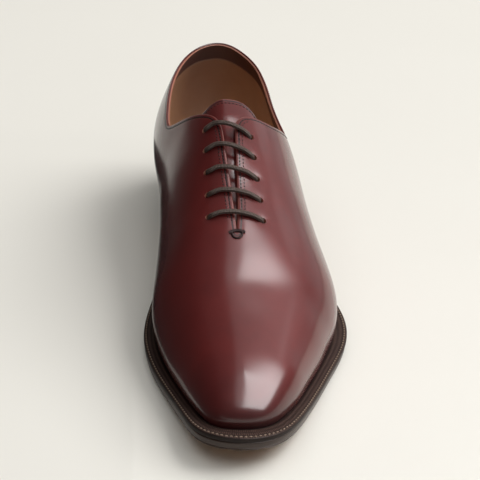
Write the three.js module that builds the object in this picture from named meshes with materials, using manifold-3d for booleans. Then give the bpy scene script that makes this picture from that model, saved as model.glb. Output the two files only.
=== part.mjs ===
// Whole cut oxford, left shoe, empty, laced with five straight bars.
// Millimetres, +Z up, toe towards -Y, outer side of the foot towards +X.
import * as THREE from 'three';
import { mergeVertices } from 'three/addons/utils/BufferGeometryUtils.js';
import Module from 'manifold-3d';

const wasm = await Module();
wasm.setup();

// Driving sizes
const LENGTH = 304;
const BALL_WIDTH = 105.5;
const INSTEP_HEIGHT = 84.8;
const HEEL_HEIGHT = 24.5;
const TOE_SPRING = 11.5;
const SOLE_THICKNESS = 4.7;
const WELT_THICKNESS = 2.6;
const WELT_BEVEL = 0.8;
const WALL = 2.2;
const GAP = 0.3;
const CURVED_GAP = 0.4;
const FORM_SWELL = 10;
const WELT_REACH = 10;
const LASTING_MARGIN = 9;
const MARGIN_SKIVE = 0.5;
const INSOLE_THICKNESS = 3;
const TONGUE_THICKNESS = 2;
const TONGUE_WIDTH = 50;
const HEEL_BREAST = 74;
const BREAST_HOLLOW = 4;
const TOP_PIECE_THICKNESS = 6.5;
const LIFT_THICKNESS = 6;
const HEEL_INSET = 1;
const HEEL_TAPER = 2.5;
const SOLE_EDGE_INSET = 0.6;
const SOLE_BEVEL = 1.2;
const EYELET_ROWS = 5;
const EYELET_FIRST = 138;
const EYELET_PITCH = 12.15;
const EYELET_SPREAD = 11.9;
const EYELET_FLARE = 0.45;
const EYELET_SKEW = 8.3;
const EYELET_TWIST = 1.2;
const EYELET_DIAMETER = 3.6;
const EYELET_SIDES = 12;
const LACE_DIAMETER = 2.5;
const LACE_LIFT = 0.5;
const LACE_END_DEPTH = 1;
const LACE_SIDES = 8;
const LACE_STEPS = 12;

// Side profile, a row at each sixteenth of the length from the back of the heel.
// heel and toe: how much of the heel height and of the toe spring lifts the tread there.
// ridge: top line of the form above the sole, as a share of the instep height.
const PROFILE = [
  { heel: 1.00, toe: 0.00, ridge: 0.975 },
  { heel: 1.00, toe: 0.00, ridge: 0.975 },
  { heel: 1.00, toe: 0.00, ridge: 0.975 },
  { heel: 1.00, toe: 0.00, ridge: 0.970 },
  { heel: 0.95, toe: 0.00, ridge: 0.975 },
  { heel: 0.80, toe: 0.00, ridge: 0.990 },
  { heel: 0.59, toe: 0.00, ridge: 1.000 },
  { heel: 0.38, toe: 0.00, ridge: 0.980 },
  { heel: 0.19, toe: 0.00, ridge: 0.920 },
  { heel: 0.00, toe: 0.00, ridge: 0.835 },
  { heel: 0.00, toe: 0.00, ridge: 0.730 },
  { heel: 0.00, toe: 0.00, ridge: 0.623 },
  { heel: 0.00, toe: 0.00, ridge: 0.525 },
  { heel: 0.00, toe: 0.12, ridge: 0.435 },
  { heel: 0.00, toe: 0.38, ridge: 0.346 },
  { heel: 0.00, toe: 0.69, ridge: 0.252 },
  { heel: 0.00, toe: 1.00, ridge: 0.138 },
];

// Sections of the form, a row at each station from the heel (0) to the toe (16).
// edge and spine: how far along the length the section starts at the sole and ends on top.
// lateral, medial, middle: shares of the ball width, across. swell: share of the form's
// swell, full and square shape the section, rim: share of the welt's reach.
const SECTIONS = [
  { edge: 0.007, lateral: 0.006, medial: 0.006, spine: 0.115, middle: 0.006,
    swellLat: 0.45, swellMed: 0.45, fullLat: 0.95, fullMed: 0.95, squareLat: 0.16, squareMed: 0.16,
    rimLat: 0.36, rimMed: 0.36 },
  { edge: 0.020, lateral: 0.155, medial: -0.143, spine: 0.125, middle: 0.005,
    swellLat: 0.45, swellMed: 0.45, fullLat: 0.95, fullMed: 0.95, squareLat: 0.17, squareMed: 0.14,
    rimLat: 0.36, rimMed: 0.36 },
  { edge: 0.066, lateral: 0.266, medial: -0.250, spine: 0.150, middle: 0.000,
    swellLat: 0.42, swellMed: 0.48, fullLat: 0.97, fullMed: 0.95, squareLat: 0.19, squareMed: 0.10,
    rimLat: 0.36, rimMed: 0.36 },
  { edge: 0.138, lateral: 0.295, medial: -0.305, spine: 0.195, middle: -0.008,
    swellLat: 0.34, swellMed: 0.64, fullLat: 1.06, fullMed: 0.96, squareLat: 0.20, squareMed: 0.07,
    rimLat: 0.36, rimMed: 0.36 },
  { edge: 0.225, lateral: 0.302, medial: -0.315, spine: 0.250, middle: -0.020,
    swellLat: 0.32, swellMed: 0.86, fullLat: 1.12, fullMed: 0.98, squareLat: 0.22, squareMed: 0.10,
    rimLat: 0.40, rimMed: 0.42 },
  { edge: 0.3125, lateral: 0.333, medial: -0.290, spine: 0.3125, middle: -0.032,
    swellLat: 0.40, swellMed: 0.95, fullLat: 1.12, fullMed: 1.02, squareLat: 0.24, squareMed: 0.22,
    rimLat: 0.46, rimMed: 0.48 },
  { edge: 0.375, lateral: 0.362, medial: -0.265, spine: 0.375, middle: -0.038,
    swellLat: 0.47, swellMed: 0.99, fullLat: 1.11, fullMed: 1.04, squareLat: 0.24, squareMed: 0.27,
    rimLat: 0.52, rimMed: 0.52 },
  { edge: 0.4375, lateral: 0.378, medial: -0.272, spine: 0.4375, middle: -0.037,
    swellLat: 0.48, swellMed: 0.96, fullLat: 1.12, fullMed: 1.05, squareLat: 0.21, squareMed: 0.27,
    rimLat: 0.60, rimMed: 0.54 },
  { edge: 0.500, lateral: 0.404, medial: -0.299, spine: 0.500, middle: -0.031,
    swellLat: 0.48, swellMed: 0.81, fullLat: 1.13, fullMed: 1.05, squareLat: 0.19, squareMed: 0.26,
    rimLat: 0.73, rimMed: 0.60 },
  { edge: 0.5625, lateral: 0.441, medial: -0.337, spine: 0.5625, middle: -0.023,
    swellLat: 0.52, swellMed: 0.63, fullLat: 1.12, fullMed: 1.03, squareLat: 0.18, squareMed: 0.25,
    rimLat: 0.91, rimMed: 0.68 },
  { edge: 0.625, lateral: 0.465, medial: -0.375, spine: 0.622, middle: -0.020,
    swellLat: 0.52, swellMed: 0.47, fullLat: 1.08, fullMed: 1.00, squareLat: 0.20, squareMed: 0.26,
    rimLat: 1.06, rimMed: 0.75 },
  { edge: 0.690, lateral: 0.458, medial: -0.391, spine: 0.683, middle: -0.025,
    swellLat: 0.42, swellMed: 0.40, fullLat: 1.02, fullMed: 0.95, squareLat: 0.25, squareMed: 0.28,
    rimLat: 0.91, rimMed: 0.76 },
  { edge: 0.763, lateral: 0.365, medial: -0.356, spine: 0.748, middle: -0.033,
    swellLat: 0.34, swellMed: 0.34, fullLat: 0.93, fullMed: 0.90, squareLat: 0.30, squareMed: 0.32,
    rimLat: 0.76, rimMed: 0.75 },
  { edge: 0.841, lateral: 0.267, medial: -0.292, spine: 0.812, middle: -0.040,
    swellLat: 0.26, swellMed: 0.28, fullLat: 0.85, fullMed: 0.84, squareLat: 0.35, squareMed: 0.36,
    rimLat: 0.74, rimMed: 0.71 },
  { edge: 0.912, lateral: 0.165, medial: -0.236, spine: 0.862, middle: -0.044,
    swellLat: 0.22, swellMed: 0.24, fullLat: 0.80, fullMed: 0.80, squareLat: 0.40, squareMed: 0.40,
    rimLat: 0.79, rimMed: 0.72 },
  { edge: 0.958, lateral: 0.070, medial: -0.182, spine: 0.893, middle: -0.045,
    swellLat: 0.20, swellMed: 0.20, fullLat: 0.78, fullMed: 0.78, squareLat: 0.42, squareMed: 0.42,
    rimLat: 0.91, rimMed: 0.89 },
  { edge: 0.965, lateral: -0.046, medial: -0.046, spine: 0.905, middle: -0.046,
    swellLat: 0.20, swellMed: 0.20, fullLat: 0.78, fullMed: 0.78, squareLat: 0.42, squareMed: 0.42,
    rimLat: 1.09, rimMed: 1.09 },
];

// The mouth, from the foot of the slit up its edge, along the top of the facing, round the
// collar to the back. station and angle place the edge of the leather on the form, foot is
// the station where the same row of the wall meets the sole.
const MOUTH = [
  { foot: 10.42, stationLat: 10.42, stationMed: 10.42, angleLat: 90.0, angleMed: 90.0 },
  { foot: 10.10, stationLat: 9.86, stationMed: 9.86, angleLat: 88.8, angleMed: 88.8 },
  { foot: 9.73, stationLat: 9.06, stationMed: 9.22, angleLat: 88.0, angleMed: 88.0 },
  { foot: 9.35, stationLat: 8.29, stationMed: 8.55, angleLat: 87.2, angleMed: 86.9 },
  { foot: 8.95, stationLat: 7.61, stationMed: 7.89, angleLat: 86.1, angleMed: 85.5 },
  { foot: 8.55, stationLat: 7.08, stationMed: 7.30, angleLat: 85.4, angleMed: 84.8 },
  { foot: 8.10, stationLat: 6.84, stationMed: 6.89, angleLat: 79.9, angleMed: 79.6 },
  { foot: 7.60, stationLat: 6.73, stationMed: 6.55, angleLat: 70.9, angleMed: 69.9 },
  { foot: 7.10, stationLat: 6.62, stationMed: 6.21, angleLat: 61.9, angleMed: 61.0 },
  { foot: 6.65, stationLat: 6.32, stationMed: 5.87, angleLat: 54.2, angleMed: 53.0 },
  { foot: 6.20, stationLat: 5.96, stationMed: 5.53, angleLat: 46.6, angleMed: 45.6 },
  { foot: 5.75, stationLat: 5.55, stationMed: 5.22, angleLat: 40.0, angleMed: 38.9 },
  { foot: 5.30, stationLat: 5.17, stationMed: 4.98, angleLat: 36.4, angleMed: 35.9 },
  { foot: 4.80, stationLat: 4.66, stationMed: 4.61, angleLat: 35.5, angleMed: 36.4 },
  { foot: 4.20, stationLat: 4.08, stationMed: 4.11, angleLat: 35.9, angleMed: 37.9 },
  { foot: 3.50, stationLat: 3.42, stationMed: 3.45, angleLat: 37.1, angleMed: 39.2 },
  { foot: 2.80, stationLat: 2.75, stationMed: 2.75, angleLat: 38.4, angleMed: 40.5 },
  { foot: 2.10, stationLat: 2.10, stationMed: 2.10, angleLat: 40.0, angleMed: 42.5 },
  { foot: 1.40, stationLat: 1.40, stationMed: 1.40, angleLat: 43.0, angleMed: 45.4 },
  { foot: 0.70, stationLat: 0.70, stationMed: 0.70, angleLat: 47.4, angleMed: 47.4 },
  { foot: 0.00, stationLat: 0.00, stationMed: 0.00, angleLat: 48.6, angleMed: 48.6 },
];

// Tongue, a row at each step from its foot under the vamp to its top edge.
// halfLat and halfMed are its reach to each side of the middle, as shares of its width.
const TONGUE = [
  { station: 11.00, halfLat: 0.24, halfMed: 0.24 },
  { station: 10.40, halfLat: 0.32, halfMed: 0.33 },
  { station: 9.60, halfLat: 0.38, halfMed: 0.40 },
  { station: 8.80, halfLat: 0.41, halfMed: 0.46 },
  { station: 7.90, halfLat: 0.43, halfMed: 0.52 },
  { station: 7.00, halfLat: 0.44, halfMed: 0.57 },
  { station: 6.15, halfLat: 0.43, halfMed: 0.60 },
];
const TONGUE_ROUND = 0.7;

const TOE = SECTIONS.length - 1;
const LATERAL = 1;
const MEDIAL = -1;

// Smooth curve through a column of evenly spaced values, a cubic B-spline
function soft(values, t, before, after) {
  const last = values.length - 1;
  const i = Math.min(Math.max(Math.floor(t), 0), last - 1);
  const f = t - i;
  const at = (k) => (k < 0 ? before : k > last ? after : values[k]);
  const weights = [
    (1 - f) ** 3,
    3 * f ** 3 - 6 * f ** 2 + 4,
    -3 * f ** 3 + 3 * f ** 2 + 3 * f + 1,
    f ** 3,
  ];
  return weights.reduce((sum, w, k) => sum + (w * at(i - 1 + k)) / 6, 0);
}

function straightOn(values, t) {
  const last = values.length - 1;
  return soft(values, t, 2 * values[0] - values[1], 2 * values[last] - values[last - 1]);
}

function turnBack(values, t) {
  return soft(values, t, values[1], values[values.length - 2]);
}

const column = (table, name) => table.map((row) => row[name]);
const profileColumns = Object.fromEntries(
  ['heel', 'toe', 'ridge'].map((name) => [name, column(PROFILE, name)]));
const sectionColumns = Object.fromEntries(
  Object.keys(SECTIONS[0]).map((name) => [name, column(SECTIONS, name)]));

function profile(name, s) {
  const t = Math.min(Math.max((s / LENGTH) * (PROFILE.length - 1), -0.4), PROFILE.length - 0.6);
  return straightOn(profileColumns[name], t);
}

// Heights along the shoe: underside of the sole, top of the sole, ridge of the form
const tread = (s) => HEEL_HEIGHT * profile('heel', s) + TOE_SPRING * profile('toe', s);
const soleTop = (s) => tread(s) + SOLE_THICKNESS;
const seat = (s) => soleTop(s) + GAP;
const ridge = (s) => seat(s) + INSTEP_HEIGHT * profile('ridge', s);

const section = (name, t) => turnBack(sectionColumns[name], t);
const spineAlong = (t) => section('spine', t) * LENGTH;

// A column that has one value a side: past the heel and the toe each side runs into the other
function sided(name, t, side) {
  const [outer, inner] = name === 'half' ? ['lateral', 'medial'] : [name + 'Lat', name + 'Med'];
  const near = sectionColumns[side > 0 ? outer : inner];
  const far = sectionColumns[side > 0 ? inner : outer];
  return soft(near, t, far[1], far[far.length - 2]);
}

// Where the form meets the sole: [across, along]
function edgePoint(t, side) {
  return [sided('half', t, side) * BALL_WIDTH, section('edge', t) * LENGTH];
}

// Outward direction of that line, in plan
function edgeNormal(t, side) {
  const step = 0.01;
  const a = edgePoint(t - step, side);
  const b = edgePoint(t + step, side);
  let nx = b[1] - a[1];
  let ns = a[0] - b[0];
  const size = Math.hypot(nx, ns);
  nx *= side / size;
  ns *= side / size;
  if (t < 0.001) return [0, -1];
  if (t > TOE - 0.001) return [0, 1];
  return [nx, ns];
}

function outline(t, side, offset) {
  const [x, s] = edgePoint(t, side);
  const [nx, ns] = edgeNormal(t, side);
  return [x + nx * offset, s + ns * offset];
}

// Makes the greatest value of v (1 - v)^2 one
const SWELL_PEAK = 27 / 4;

// A point of the form: station t, angle round the section from the sole (0) to the ridge
function formPoint(t, angle, side) {
  const [edgeX, edgeS] = edgePoint(t, side);
  const spineX = section('middle', t) * BALL_WIDTH;
  const spineS = spineAlong(t);
  const c = Math.cos(angle);
  const sn = Math.max(Math.sin(angle), 1e-9);
  const blend = 0.5 + 0.5 * side * c * (3 - c * c) / 2;
  const mix = (name) => THREE.MathUtils.lerp(
    sided(name, t, MEDIAL), sided(name, t, LATERAL), blend);
  const full = mix('full');
  const square = mix('square');
  const h = c * (1 + square * sn * sn);
  const v = sn ** full;
  const dx = edgeX - spineX;
  const ds = edgeS - spineS;
  const reach = Math.hypot(dx, ds);
  const swell = sided('swell', t, side) * FORM_SWELL * SWELL_PEAK * v * (1 - v) ** 2;
  const x = spineX + dx * h + (dx / reach) * swell;
  const s = spineS + ds * h + (ds / reach) * swell;
  const z = seat(edgeS) * (1 - v) + ridge(s) * v;
  return new THREE.Vector3(x, s, z);
}

function formNormal(t, angle, side) {
  const tt = THREE.MathUtils.clamp(t, 0.06, TOE - 0.06);
  const aa = THREE.MathUtils.clamp(angle, 0.03, Math.PI / 2);
  const one = (sd) => {
    const along = formPoint(tt + 0.02, aa, sd).sub(formPoint(tt - 0.02, aa, sd));
    const round = formPoint(tt, aa + 0.01, sd).sub(formPoint(tt, aa - 0.01, sd));
    return along.cross(round).multiplyScalar(sd).normalize();
  };
  const onSeam = t < 0.01 || t > TOE - 0.01 || angle > Math.PI / 2 - 0.001;
  if (!onSeam) return one(side);
  return one(LATERAL).add(one(MEDIAL)).normalize();
}

function formInside(t, angle, side, depth) {
  return formPoint(t, angle, side).addScaledVector(formNormal(t, angle, side), -depth);
}

// The angle at which the form stands a given distance across from its middle line
function angleAcross(t, distance, side) {
  let low = 0.5;
  let high = Math.PI / 2;
  const middle = section('middle', t) * BALL_WIDTH;
  for (let i = 0; i < 40; i++) {
    const mid = (low + high) / 2;
    if (Math.abs(formPoint(t, mid, side).x - middle) > distance) low = mid;
    else high = mid;
  }
  return (low + high) / 2;
}

// The station whose spine lies a given distance along
function stationAlong(s) {
  let low = 0;
  let high = TOE;
  for (let i = 0; i < 40; i++) {
    const mid = (low + high) / 2;
    if (spineAlong(mid) < s) low = mid;
    else high = mid;
  }
  return (low + high) / 2;
}

// Triangles from points in the shoe's own across, along, up; along turns into -Y
class Skin {
  constructor() {
    this.points = [];
  }

  triangle(a, b, c) {
    const flat = new THREE.Triangle(a, b, c).getArea() < 1e-7;
    if (!flat) this.points.push(a, b, c);
  }

  quad(a, b, c, d) {
    if (a.distanceTo(c) < b.distanceTo(d)) {
      this.triangle(a, b, c);
      this.triangle(a, c, d);
    } else {
      this.triangle(a, b, d);
      this.triangle(b, c, d);
    }
  }

  geometry() {
    const values = [];
    for (const p of this.points) values.push(p.x, -p.y, p.z);
    const loose = new THREE.BufferGeometry();
    loose.setAttribute('position', new THREE.Float32BufferAttribute(values, 3));
    const merged = mergeVertices(loose, 1e-4);
    return facingOut(merged);
  }
}

function signedVolume(geometry) {
  const p = geometry.attributes.position;
  const index = geometry.index.array;
  const [a, b, c] = [new THREE.Vector3(), new THREE.Vector3(), new THREE.Vector3()];
  let sum = 0;
  for (let i = 0; i < index.length; i += 3) {
    a.fromBufferAttribute(p, index[i]);
    b.fromBufferAttribute(p, index[i + 1]);
    c.fromBufferAttribute(p, index[i + 2]);
    sum += a.dot(b.cross(c)) / 6;
  }
  return sum;
}

function facingOut(geometry) {
  if (signedVolume(geometry) < 0) {
    const index = geometry.index.array;
    for (let i = 0; i < index.length; i += 3) {
      const keep = index[i + 1];
      index[i + 1] = index[i + 2];
      index[i + 2] = keep;
    }
  }
  return geometry;
}

// Rows of the wall from the toe to the heel, with the same feet for every layer of the sole
const vampStations = [16, 15.75, 15.5, 15.2, 14.9, 14.6, 14.3, 14, 13.7, 13.4, 13.1, 12.8,
  12.5, 12.2, 11.9, 11.6, 11.3, 11.0, 10.75];
const mouthSteps = [];
for (let step = 0; step < MOUTH.length - 1.001; step += step < 12.9 ? 0.5 : 0.7) {
  mouthSteps.push(Math.round(step * 100) / 100);
}
mouthSteps.push(MOUTH.length - 1);

function mouthRow(step) {
  const read = (name) => {
    const values = column(MOUTH, name);
    const last = values.length - 1;
    const level = name.startsWith('angle');
    const before = 2 * values[0] - values[1];
    const after = level ? values[last - 1] : 2 * values[last] - values[last - 1];
    return soft(values, step, before, after);
  };
  return {
    foot: read('foot'),
    stationLat: read('stationLat'),
    stationMed: read('stationMed'),
    angleLat: read('angleLat'),
    angleMed: read('angleMed'),
    open: true,
  };
}

const rows = [
  ...vampStations.map((t) => (
    { foot: t, stationLat: t, stationMed: t, angleLat: 90, angleMed: 90, open: false })),
  ...mouthSteps.map(mouthRow),
];
const feet = rows.map((row) => row.foot);

// One row of the wall as a closed loop: outside up, inside down, then the lasting margin
const WALL_STEPS = 12;
function wallLoop(row, side) {
  const top = THREE.MathUtils.degToRad(side > 0 ? row.angleLat : row.angleMed);
  const station = side > 0 ? row.stationLat : row.stationMed;
  const outside = [];
  const inside = [];
  for (let k = 0; k <= WALL_STEPS; k++) {
    const u = k / WALL_STEPS;
    const t = row.foot + (station - row.foot) * u * u;
    const angle = top * u;
    outside.push(formPoint(t, angle, side));
    inside.push(formInside(t, angle, side, WALL));
  }
  const ground = (offset, rise) => {
    const [x, s] = outline(row.foot, side, offset);
    return new THREE.Vector3(x, s, seat(s) + rise);
  };
  outside[0] = ground(0, 0);
  inside[0] = ground(-WALL, WALL);
  return {
    outside,
    inside,
    marginTop: ground(-LASTING_MARGIN, WALL - MARGIN_SKIVE),
    marginUnder: ground(-LASTING_MARGIN, 0),
  };
}

function makeUpperShell() {
  const skin = new Skin();
  for (const side of [LATERAL, MEDIAL]) {
    const loops = rows.map((row) => wallLoop(row, side));
    const join = (a, b, c, d) => (side > 0 ? skin.quad(a, b, c, d) : skin.quad(d, c, b, a));
    for (let i = 0; i + 1 < rows.length; i++) {
      const [a, b] = [loops[i], loops[i + 1]];
      for (let k = 0; k < WALL_STEPS; k++) {
        join(a.outside[k], a.outside[k + 1], b.outside[k + 1], b.outside[k]);
        join(a.inside[k + 1], a.inside[k], b.inside[k], b.inside[k + 1]);
      }
      join(a.inside[0], a.marginTop, b.marginTop, b.inside[0]);
      join(a.marginTop, a.marginUnder, b.marginUnder, b.marginTop);
      join(a.marginUnder, a.outside[0], b.outside[0], b.marginUnder);
      if (rows[i].open) {
        const n = WALL_STEPS;
        join(a.outside[n], a.inside[n], b.inside[n], b.outside[n]);
      }
    }
  }
  return skin.geometry();
}

// How far the eyelets of a row stand from the middle; the rows spread towards the toe
function eyeletSpread(row) {
  return EYELET_SPREAD + EYELET_FLARE * row;
}

// The outer eyelets sit further forward than the inner ones, less so towards the toe
function eyeletStation(row, across) {
  const skew = EYELET_SKEW - EYELET_TWIST * row;
  return stationAlong(EYELET_FIRST + row * EYELET_PITCH + (across * skew) / 2);
}

// Eyelet places: pairs either side of the slit
const eyelets = [];
for (let row = 0; row < EYELET_ROWS; row++) {
  for (const side of [LATERAL, MEDIAL]) {
    const t = eyeletStation(row, side);
    const angle = angleAcross(t, eyeletSpread(row), side);
    eyelets.push({ row, side, at: formPoint(t, angle, side), out: formNormal(t, angle, side) });
  }
}

const toWorld = (p) => new THREE.Vector3(p.x, -p.y, p.z);

function solidOf(geometry) {
  const bare = geometry.clone();
  bare.deleteAttribute('normal');
  bare.deleteAttribute('uv');
  const merged = mergeVertices(bare, 1e-4);
  return new wasm.Manifold(new wasm.Mesh({
    numProp: 3,
    vertProperties: new Float32Array(merged.attributes.position.array),
    triVerts: new Uint32Array(merged.index.array),
  }));
}

function geometryOf(solid) {
  const mesh = solid.getMesh();
  const geometry = new THREE.BufferGeometry();
  geometry.setAttribute('position', new THREE.Float32BufferAttribute(mesh.vertProperties, 3));
  geometry.setIndex(new THREE.BufferAttribute(new Uint32Array(mesh.triVerts), 1));
  return geometry;
}

function makeUpper() {
  let solid = solidOf(makeUpperShell());
  for (const eyelet of eyelets) {
    const punch = new THREE.CylinderGeometry(
      EYELET_DIAMETER / 2, EYELET_DIAMETER / 2, 4 * WALL, EYELET_SIDES);
    const up = new THREE.Vector3(0, 1, 0);
    punch.applyQuaternion(new THREE.Quaternion().setFromUnitVectors(up, toWorld(eyelet.out)));
    const centre = toWorld(eyelet.at);
    punch.translate(centre.x, centre.y, centre.z);
    solid = solid.subtract(solidOf(punch));
  }
  return geometryOf(solid);
}

// Flat layers: each level is a pair of edges from the front to the back of the heel, with the
// front edge between them, and a height that depends on how far along a point lies
function makeLayer(levels) {
  const skin = new Skin();
  const point = (level, [x, s]) => new THREE.Vector3(x, s, level.height(s));
  const ring = (level) => [
    ...level.lateral.slice(0, -1),
    ...level.medial.slice().reverse(),
    ...level.front.slice().reverse(),
  ].map((p) => point(level, p));
  const cap = (level, upward) => {
    const put = (a, b, c) => (upward ? skin.triangle(a, b, c) : skin.triangle(c, b, a));
    const lateral = level.lateral.map((p) => point(level, p));
    const medial = level.medial.map((p) => point(level, p));
    const front = level.front.map((p) => point(level, p));
    for (let i = 0; i + 1 < lateral.length; i++) {
      if (i === 0 && front.length > 0) {
        const half = Math.floor(front.length / 2);
        const path = [lateral[0], ...front, medial[0]];
        for (let k = 0; k <= half; k++) put(path[k], lateral[1], path[k + 1]);
        for (let k = half + 1; k + 1 < path.length; k++) put(path[k], medial[1], path[k + 1]);
        put(path[half + 1], lateral[1], medial[1]);
        continue;
      }
      put(lateral[i], lateral[i + 1], medial[i + 1]);
      put(lateral[i], medial[i + 1], medial[i]);
    }
  };
  cap(levels[0], false);
  cap(levels[levels.length - 1], true);
  for (let j = 0; j + 1 < levels.length; j++) {
    const [low, high] = [ring(levels[j]), ring(levels[j + 1])];
    for (let i = 0; i < low.length; i++) {
      const n = (i + 1) % low.length;
      skin.quad(low[i], low[n], high[n], high[i]);
    }
  }
  return skin.geometry();
}

function rimAt(t, side) {
  return sided('rim', t, side) * WELT_REACH;
}

function soleLevel(offset, height) {
  const edge = (side) => feet.map((t) => outline(t, side, offset(t, side)));
  return { lateral: edge(LATERAL), medial: edge(MEDIAL), front: [], height };
}

function makeOutsole() {
  const edge = (inset) => (t, side) => rimAt(t, side) - inset;
  return makeLayer([
    soleLevel(edge(SOLE_EDGE_INSET + SOLE_BEVEL), tread),
    soleLevel(edge(SOLE_EDGE_INSET), (s) => tread(s) + SOLE_BEVEL),
    soleLevel(edge(SOLE_EDGE_INSET), soleTop),
  ]);
}

function makeInsole() {
  const inset = () => -(WALL + CURVED_GAP);
  return makeLayer([
    soleLevel(inset, (s) => seat(s) + WALL + GAP),
    soleLevel(inset, (s) => seat(s) + WALL + GAP + INSOLE_THICKNESS),
  ]);
}

// The welt is a ring round the foot of the wall
function makeWelt() {
  const skin = new Skin();
  for (const side of [LATERAL, MEDIAL]) {
    const loops = feet.map((t) => {
      const rim = rimAt(t, side);
      const place = (offset, rise) => {
        const [x, s] = outline(t, side, offset);
        return new THREE.Vector3(x, s, seat(s) + rise);
      };
      return [
        place(CURVED_GAP, 0),
        wallAtRise(t, side, WELT_THICKNESS, CURVED_GAP),
        place(rim - WELT_BEVEL, WELT_THICKNESS - WELT_BEVEL / 4),
        place(rim, WELT_THICKNESS - WELT_BEVEL),
        place(rim, 0),
      ];
    });
    const join = (a, b, c, d) => (side > 0 ? skin.quad(d, c, b, a) : skin.quad(a, b, c, d));
    for (let i = 0; i + 1 < loops.length; i++) {
      for (let k = 0; k < 5; k++) {
        const n = (k + 1) % 5;
        join(loops[i][k], loops[i][n], loops[i + 1][n], loops[i + 1][k]);
      }
    }
  }
  return skin.geometry();
}

// A point just outside the wall at a given rise above the sole
function wallAtRise(t, side, rise, clearance) {
  const [nx, ns] = edgeNormal(t, side);
  const base = seat(edgePoint(t, side)[1]);
  let low = 0.001;
  let high = 0.6;
  for (let i = 0; i < 40; i++) {
    const mid = (low + high) / 2;
    if (formPoint(t, mid, side).z < base + rise) low = mid;
    else high = mid;
  }
  const p = formPoint(t, low, side);
  return new THREE.Vector3(p.x + nx * clearance, p.y + ns * clearance, p.z);
}

// Heel: a stack of lifts on a top piece, tapering to the floor, hollow at its breast
function heelLevel(drop, height) {
  const steps = 12;
  const inset = HEEL_INSET + HEEL_TAPER * drop;
  const edge = (side) => {
    const place = (t) => outline(t, side, rimAt(t, side) - inset);
    let low = 2;
    let high = 6;
    for (let i = 0; i < 40; i++) {
      const mid = (low + high) / 2;
      if (place(mid)[1] < HEEL_BREAST) low = mid;
      else high = mid;
    }
    const points = [];
    for (let i = 0; i <= steps; i++) points.push(place(low * (1 - i / steps)));
    return points;
  };
  const lateral = edge(LATERAL);
  const medial = edge(MEDIAL);
  const front = [0.25, 0.5, 0.75].map((u) => [
    THREE.MathUtils.lerp(lateral[0][0], medial[0][0], u),
    HEEL_BREAST - BREAST_HOLLOW * Math.sin(Math.PI * u),
  ]);
  return { lateral, medial, front, height };
}

function makeHeelPiece(from, to) {
  const drop = (z) => 1 - z / HEEL_HEIGHT;
  const under = (s) => tread(s) - GAP;
  const top = to === null ? under : () => to;
  return makeLayer([
    heelLevel(drop(from), () => from),
    heelLevel(to === null ? 0 : drop(to), top),
  ]);
}

// Tongue: a curved leaf under the facings
function makeTongue() {
  const across = 12;
  const along = 18;
  const stations = column(TONGUE, 'station');
  const depth = WALL + CURVED_GAP;
  const grid = (inside) => {
    const net = [];
    for (let i = 0; i <= along; i++) {
      const step = (i / along) * (TONGUE.length - 1);
      const line = [];
      for (let j = 0; j <= across; j++) {
        const w = (2 * j) / across - 1;
        const side = w >= 0 ? LATERAL : MEDIAL;
        const round = TONGUE_ROUND * (i / along) ** 3 * Math.abs(w) ** 5;
        const t = straightOn(stations, step) + round;
        const halves = column(TONGUE, w >= 0 ? 'halfLat' : 'halfMed');
        const distance = Math.abs(w) * straightOn(halves, step) * TONGUE_WIDTH;
        const angle = w === 0 ? Math.PI / 2 : angleAcross(t, distance, side);
        line.push(formInside(t, angle, side, depth + (inside ? TONGUE_THICKNESS : 0)));
      }
      net.push(line);
    }
    return net;
  };
  const top = grid(false);
  const under = grid(true);
  const skin = new Skin();
  for (let i = 0; i < along; i++) {
    for (let j = 0; j < across; j++) {
      skin.quad(top[i][j], top[i][j + 1], top[i + 1][j + 1], top[i + 1][j]);
      skin.quad(under[i + 1][j], under[i + 1][j + 1], under[i][j + 1], under[i][j]);
    }
    skin.quad(top[i + 1][0], under[i + 1][0], under[i][0], top[i][0]);
    skin.quad(top[i][across], under[i][across], under[i + 1][across], top[i + 1][across]);
  }
  for (let j = 0; j < across; j++) {
    skin.quad(top[0][j], under[0][j], under[0][j + 1], top[0][j + 1]);
    skin.quad(top[along][j + 1], under[along][j + 1], under[along][j], top[along][j]);
  }
  return skin.geometry();
}

// Where the lace is held over the facings, from the outer eyelet (1) to the inner one (-1)
const LACE_ACROSS = [0.8, 0.55, 0.28, 0, -0.28, -0.55, -0.8];

// A bar of lace, down into the eyelet at each end
function makeLaceBar(row) {
  const [a, b] = eyelets.filter((eyelet) => eyelet.row === row);
  const height = LACE_DIAMETER / 2 + LACE_LIFT;
  const path = [];
  const leave = (eyelet, inward) => [
    eyelet.at.clone().addScaledVector(eyelet.out, -LACE_END_DEPTH),
    eyelet.at.clone().addScaledVector(eyelet.out, height / 3),
    eyelet.at.clone().addScaledVector(eyelet.out, height).addScaledVector(inward, height / 3),
  ];
  const inward = b.at.clone().sub(a.at).normalize();
  path.push(...leave(a, inward));
  for (const share of LACE_ACROSS) {
    const side = share < 0 ? MEDIAL : LATERAL;
    const t = eyeletStation(row, share);
    const angle = share === 0 ? Math.PI / 2 : angleAcross(t, eyeletSpread(row) * Math.abs(share), side);
    path.push(formInside(t, angle, side, -height));
  }
  path.push(...leave(b, inward.clone().negate()).reverse());
  const curve = new THREE.CatmullRomCurve3(path.map(toWorld), false, 'centripetal');
  const ring = [];
  for (let i = 0; i < LACE_SIDES; i++) {
    const turn = (i / LACE_SIDES) * Math.PI * 2;
    ring.push(new THREE.Vector2(Math.cos(turn), Math.sin(turn)).multiplyScalar(LACE_DIAMETER / 2));
  }
  const tube = new THREE.ExtrudeGeometry(new THREE.Shape(ring), {
    steps: LACE_STEPS,
    bevelEnabled: false,
    extrudePath: curve,
  });
  tube.deleteAttribute('normal');
  tube.deleteAttribute('uv');
  return facingOut(mergeVertices(tube, 1e-4));
}

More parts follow.
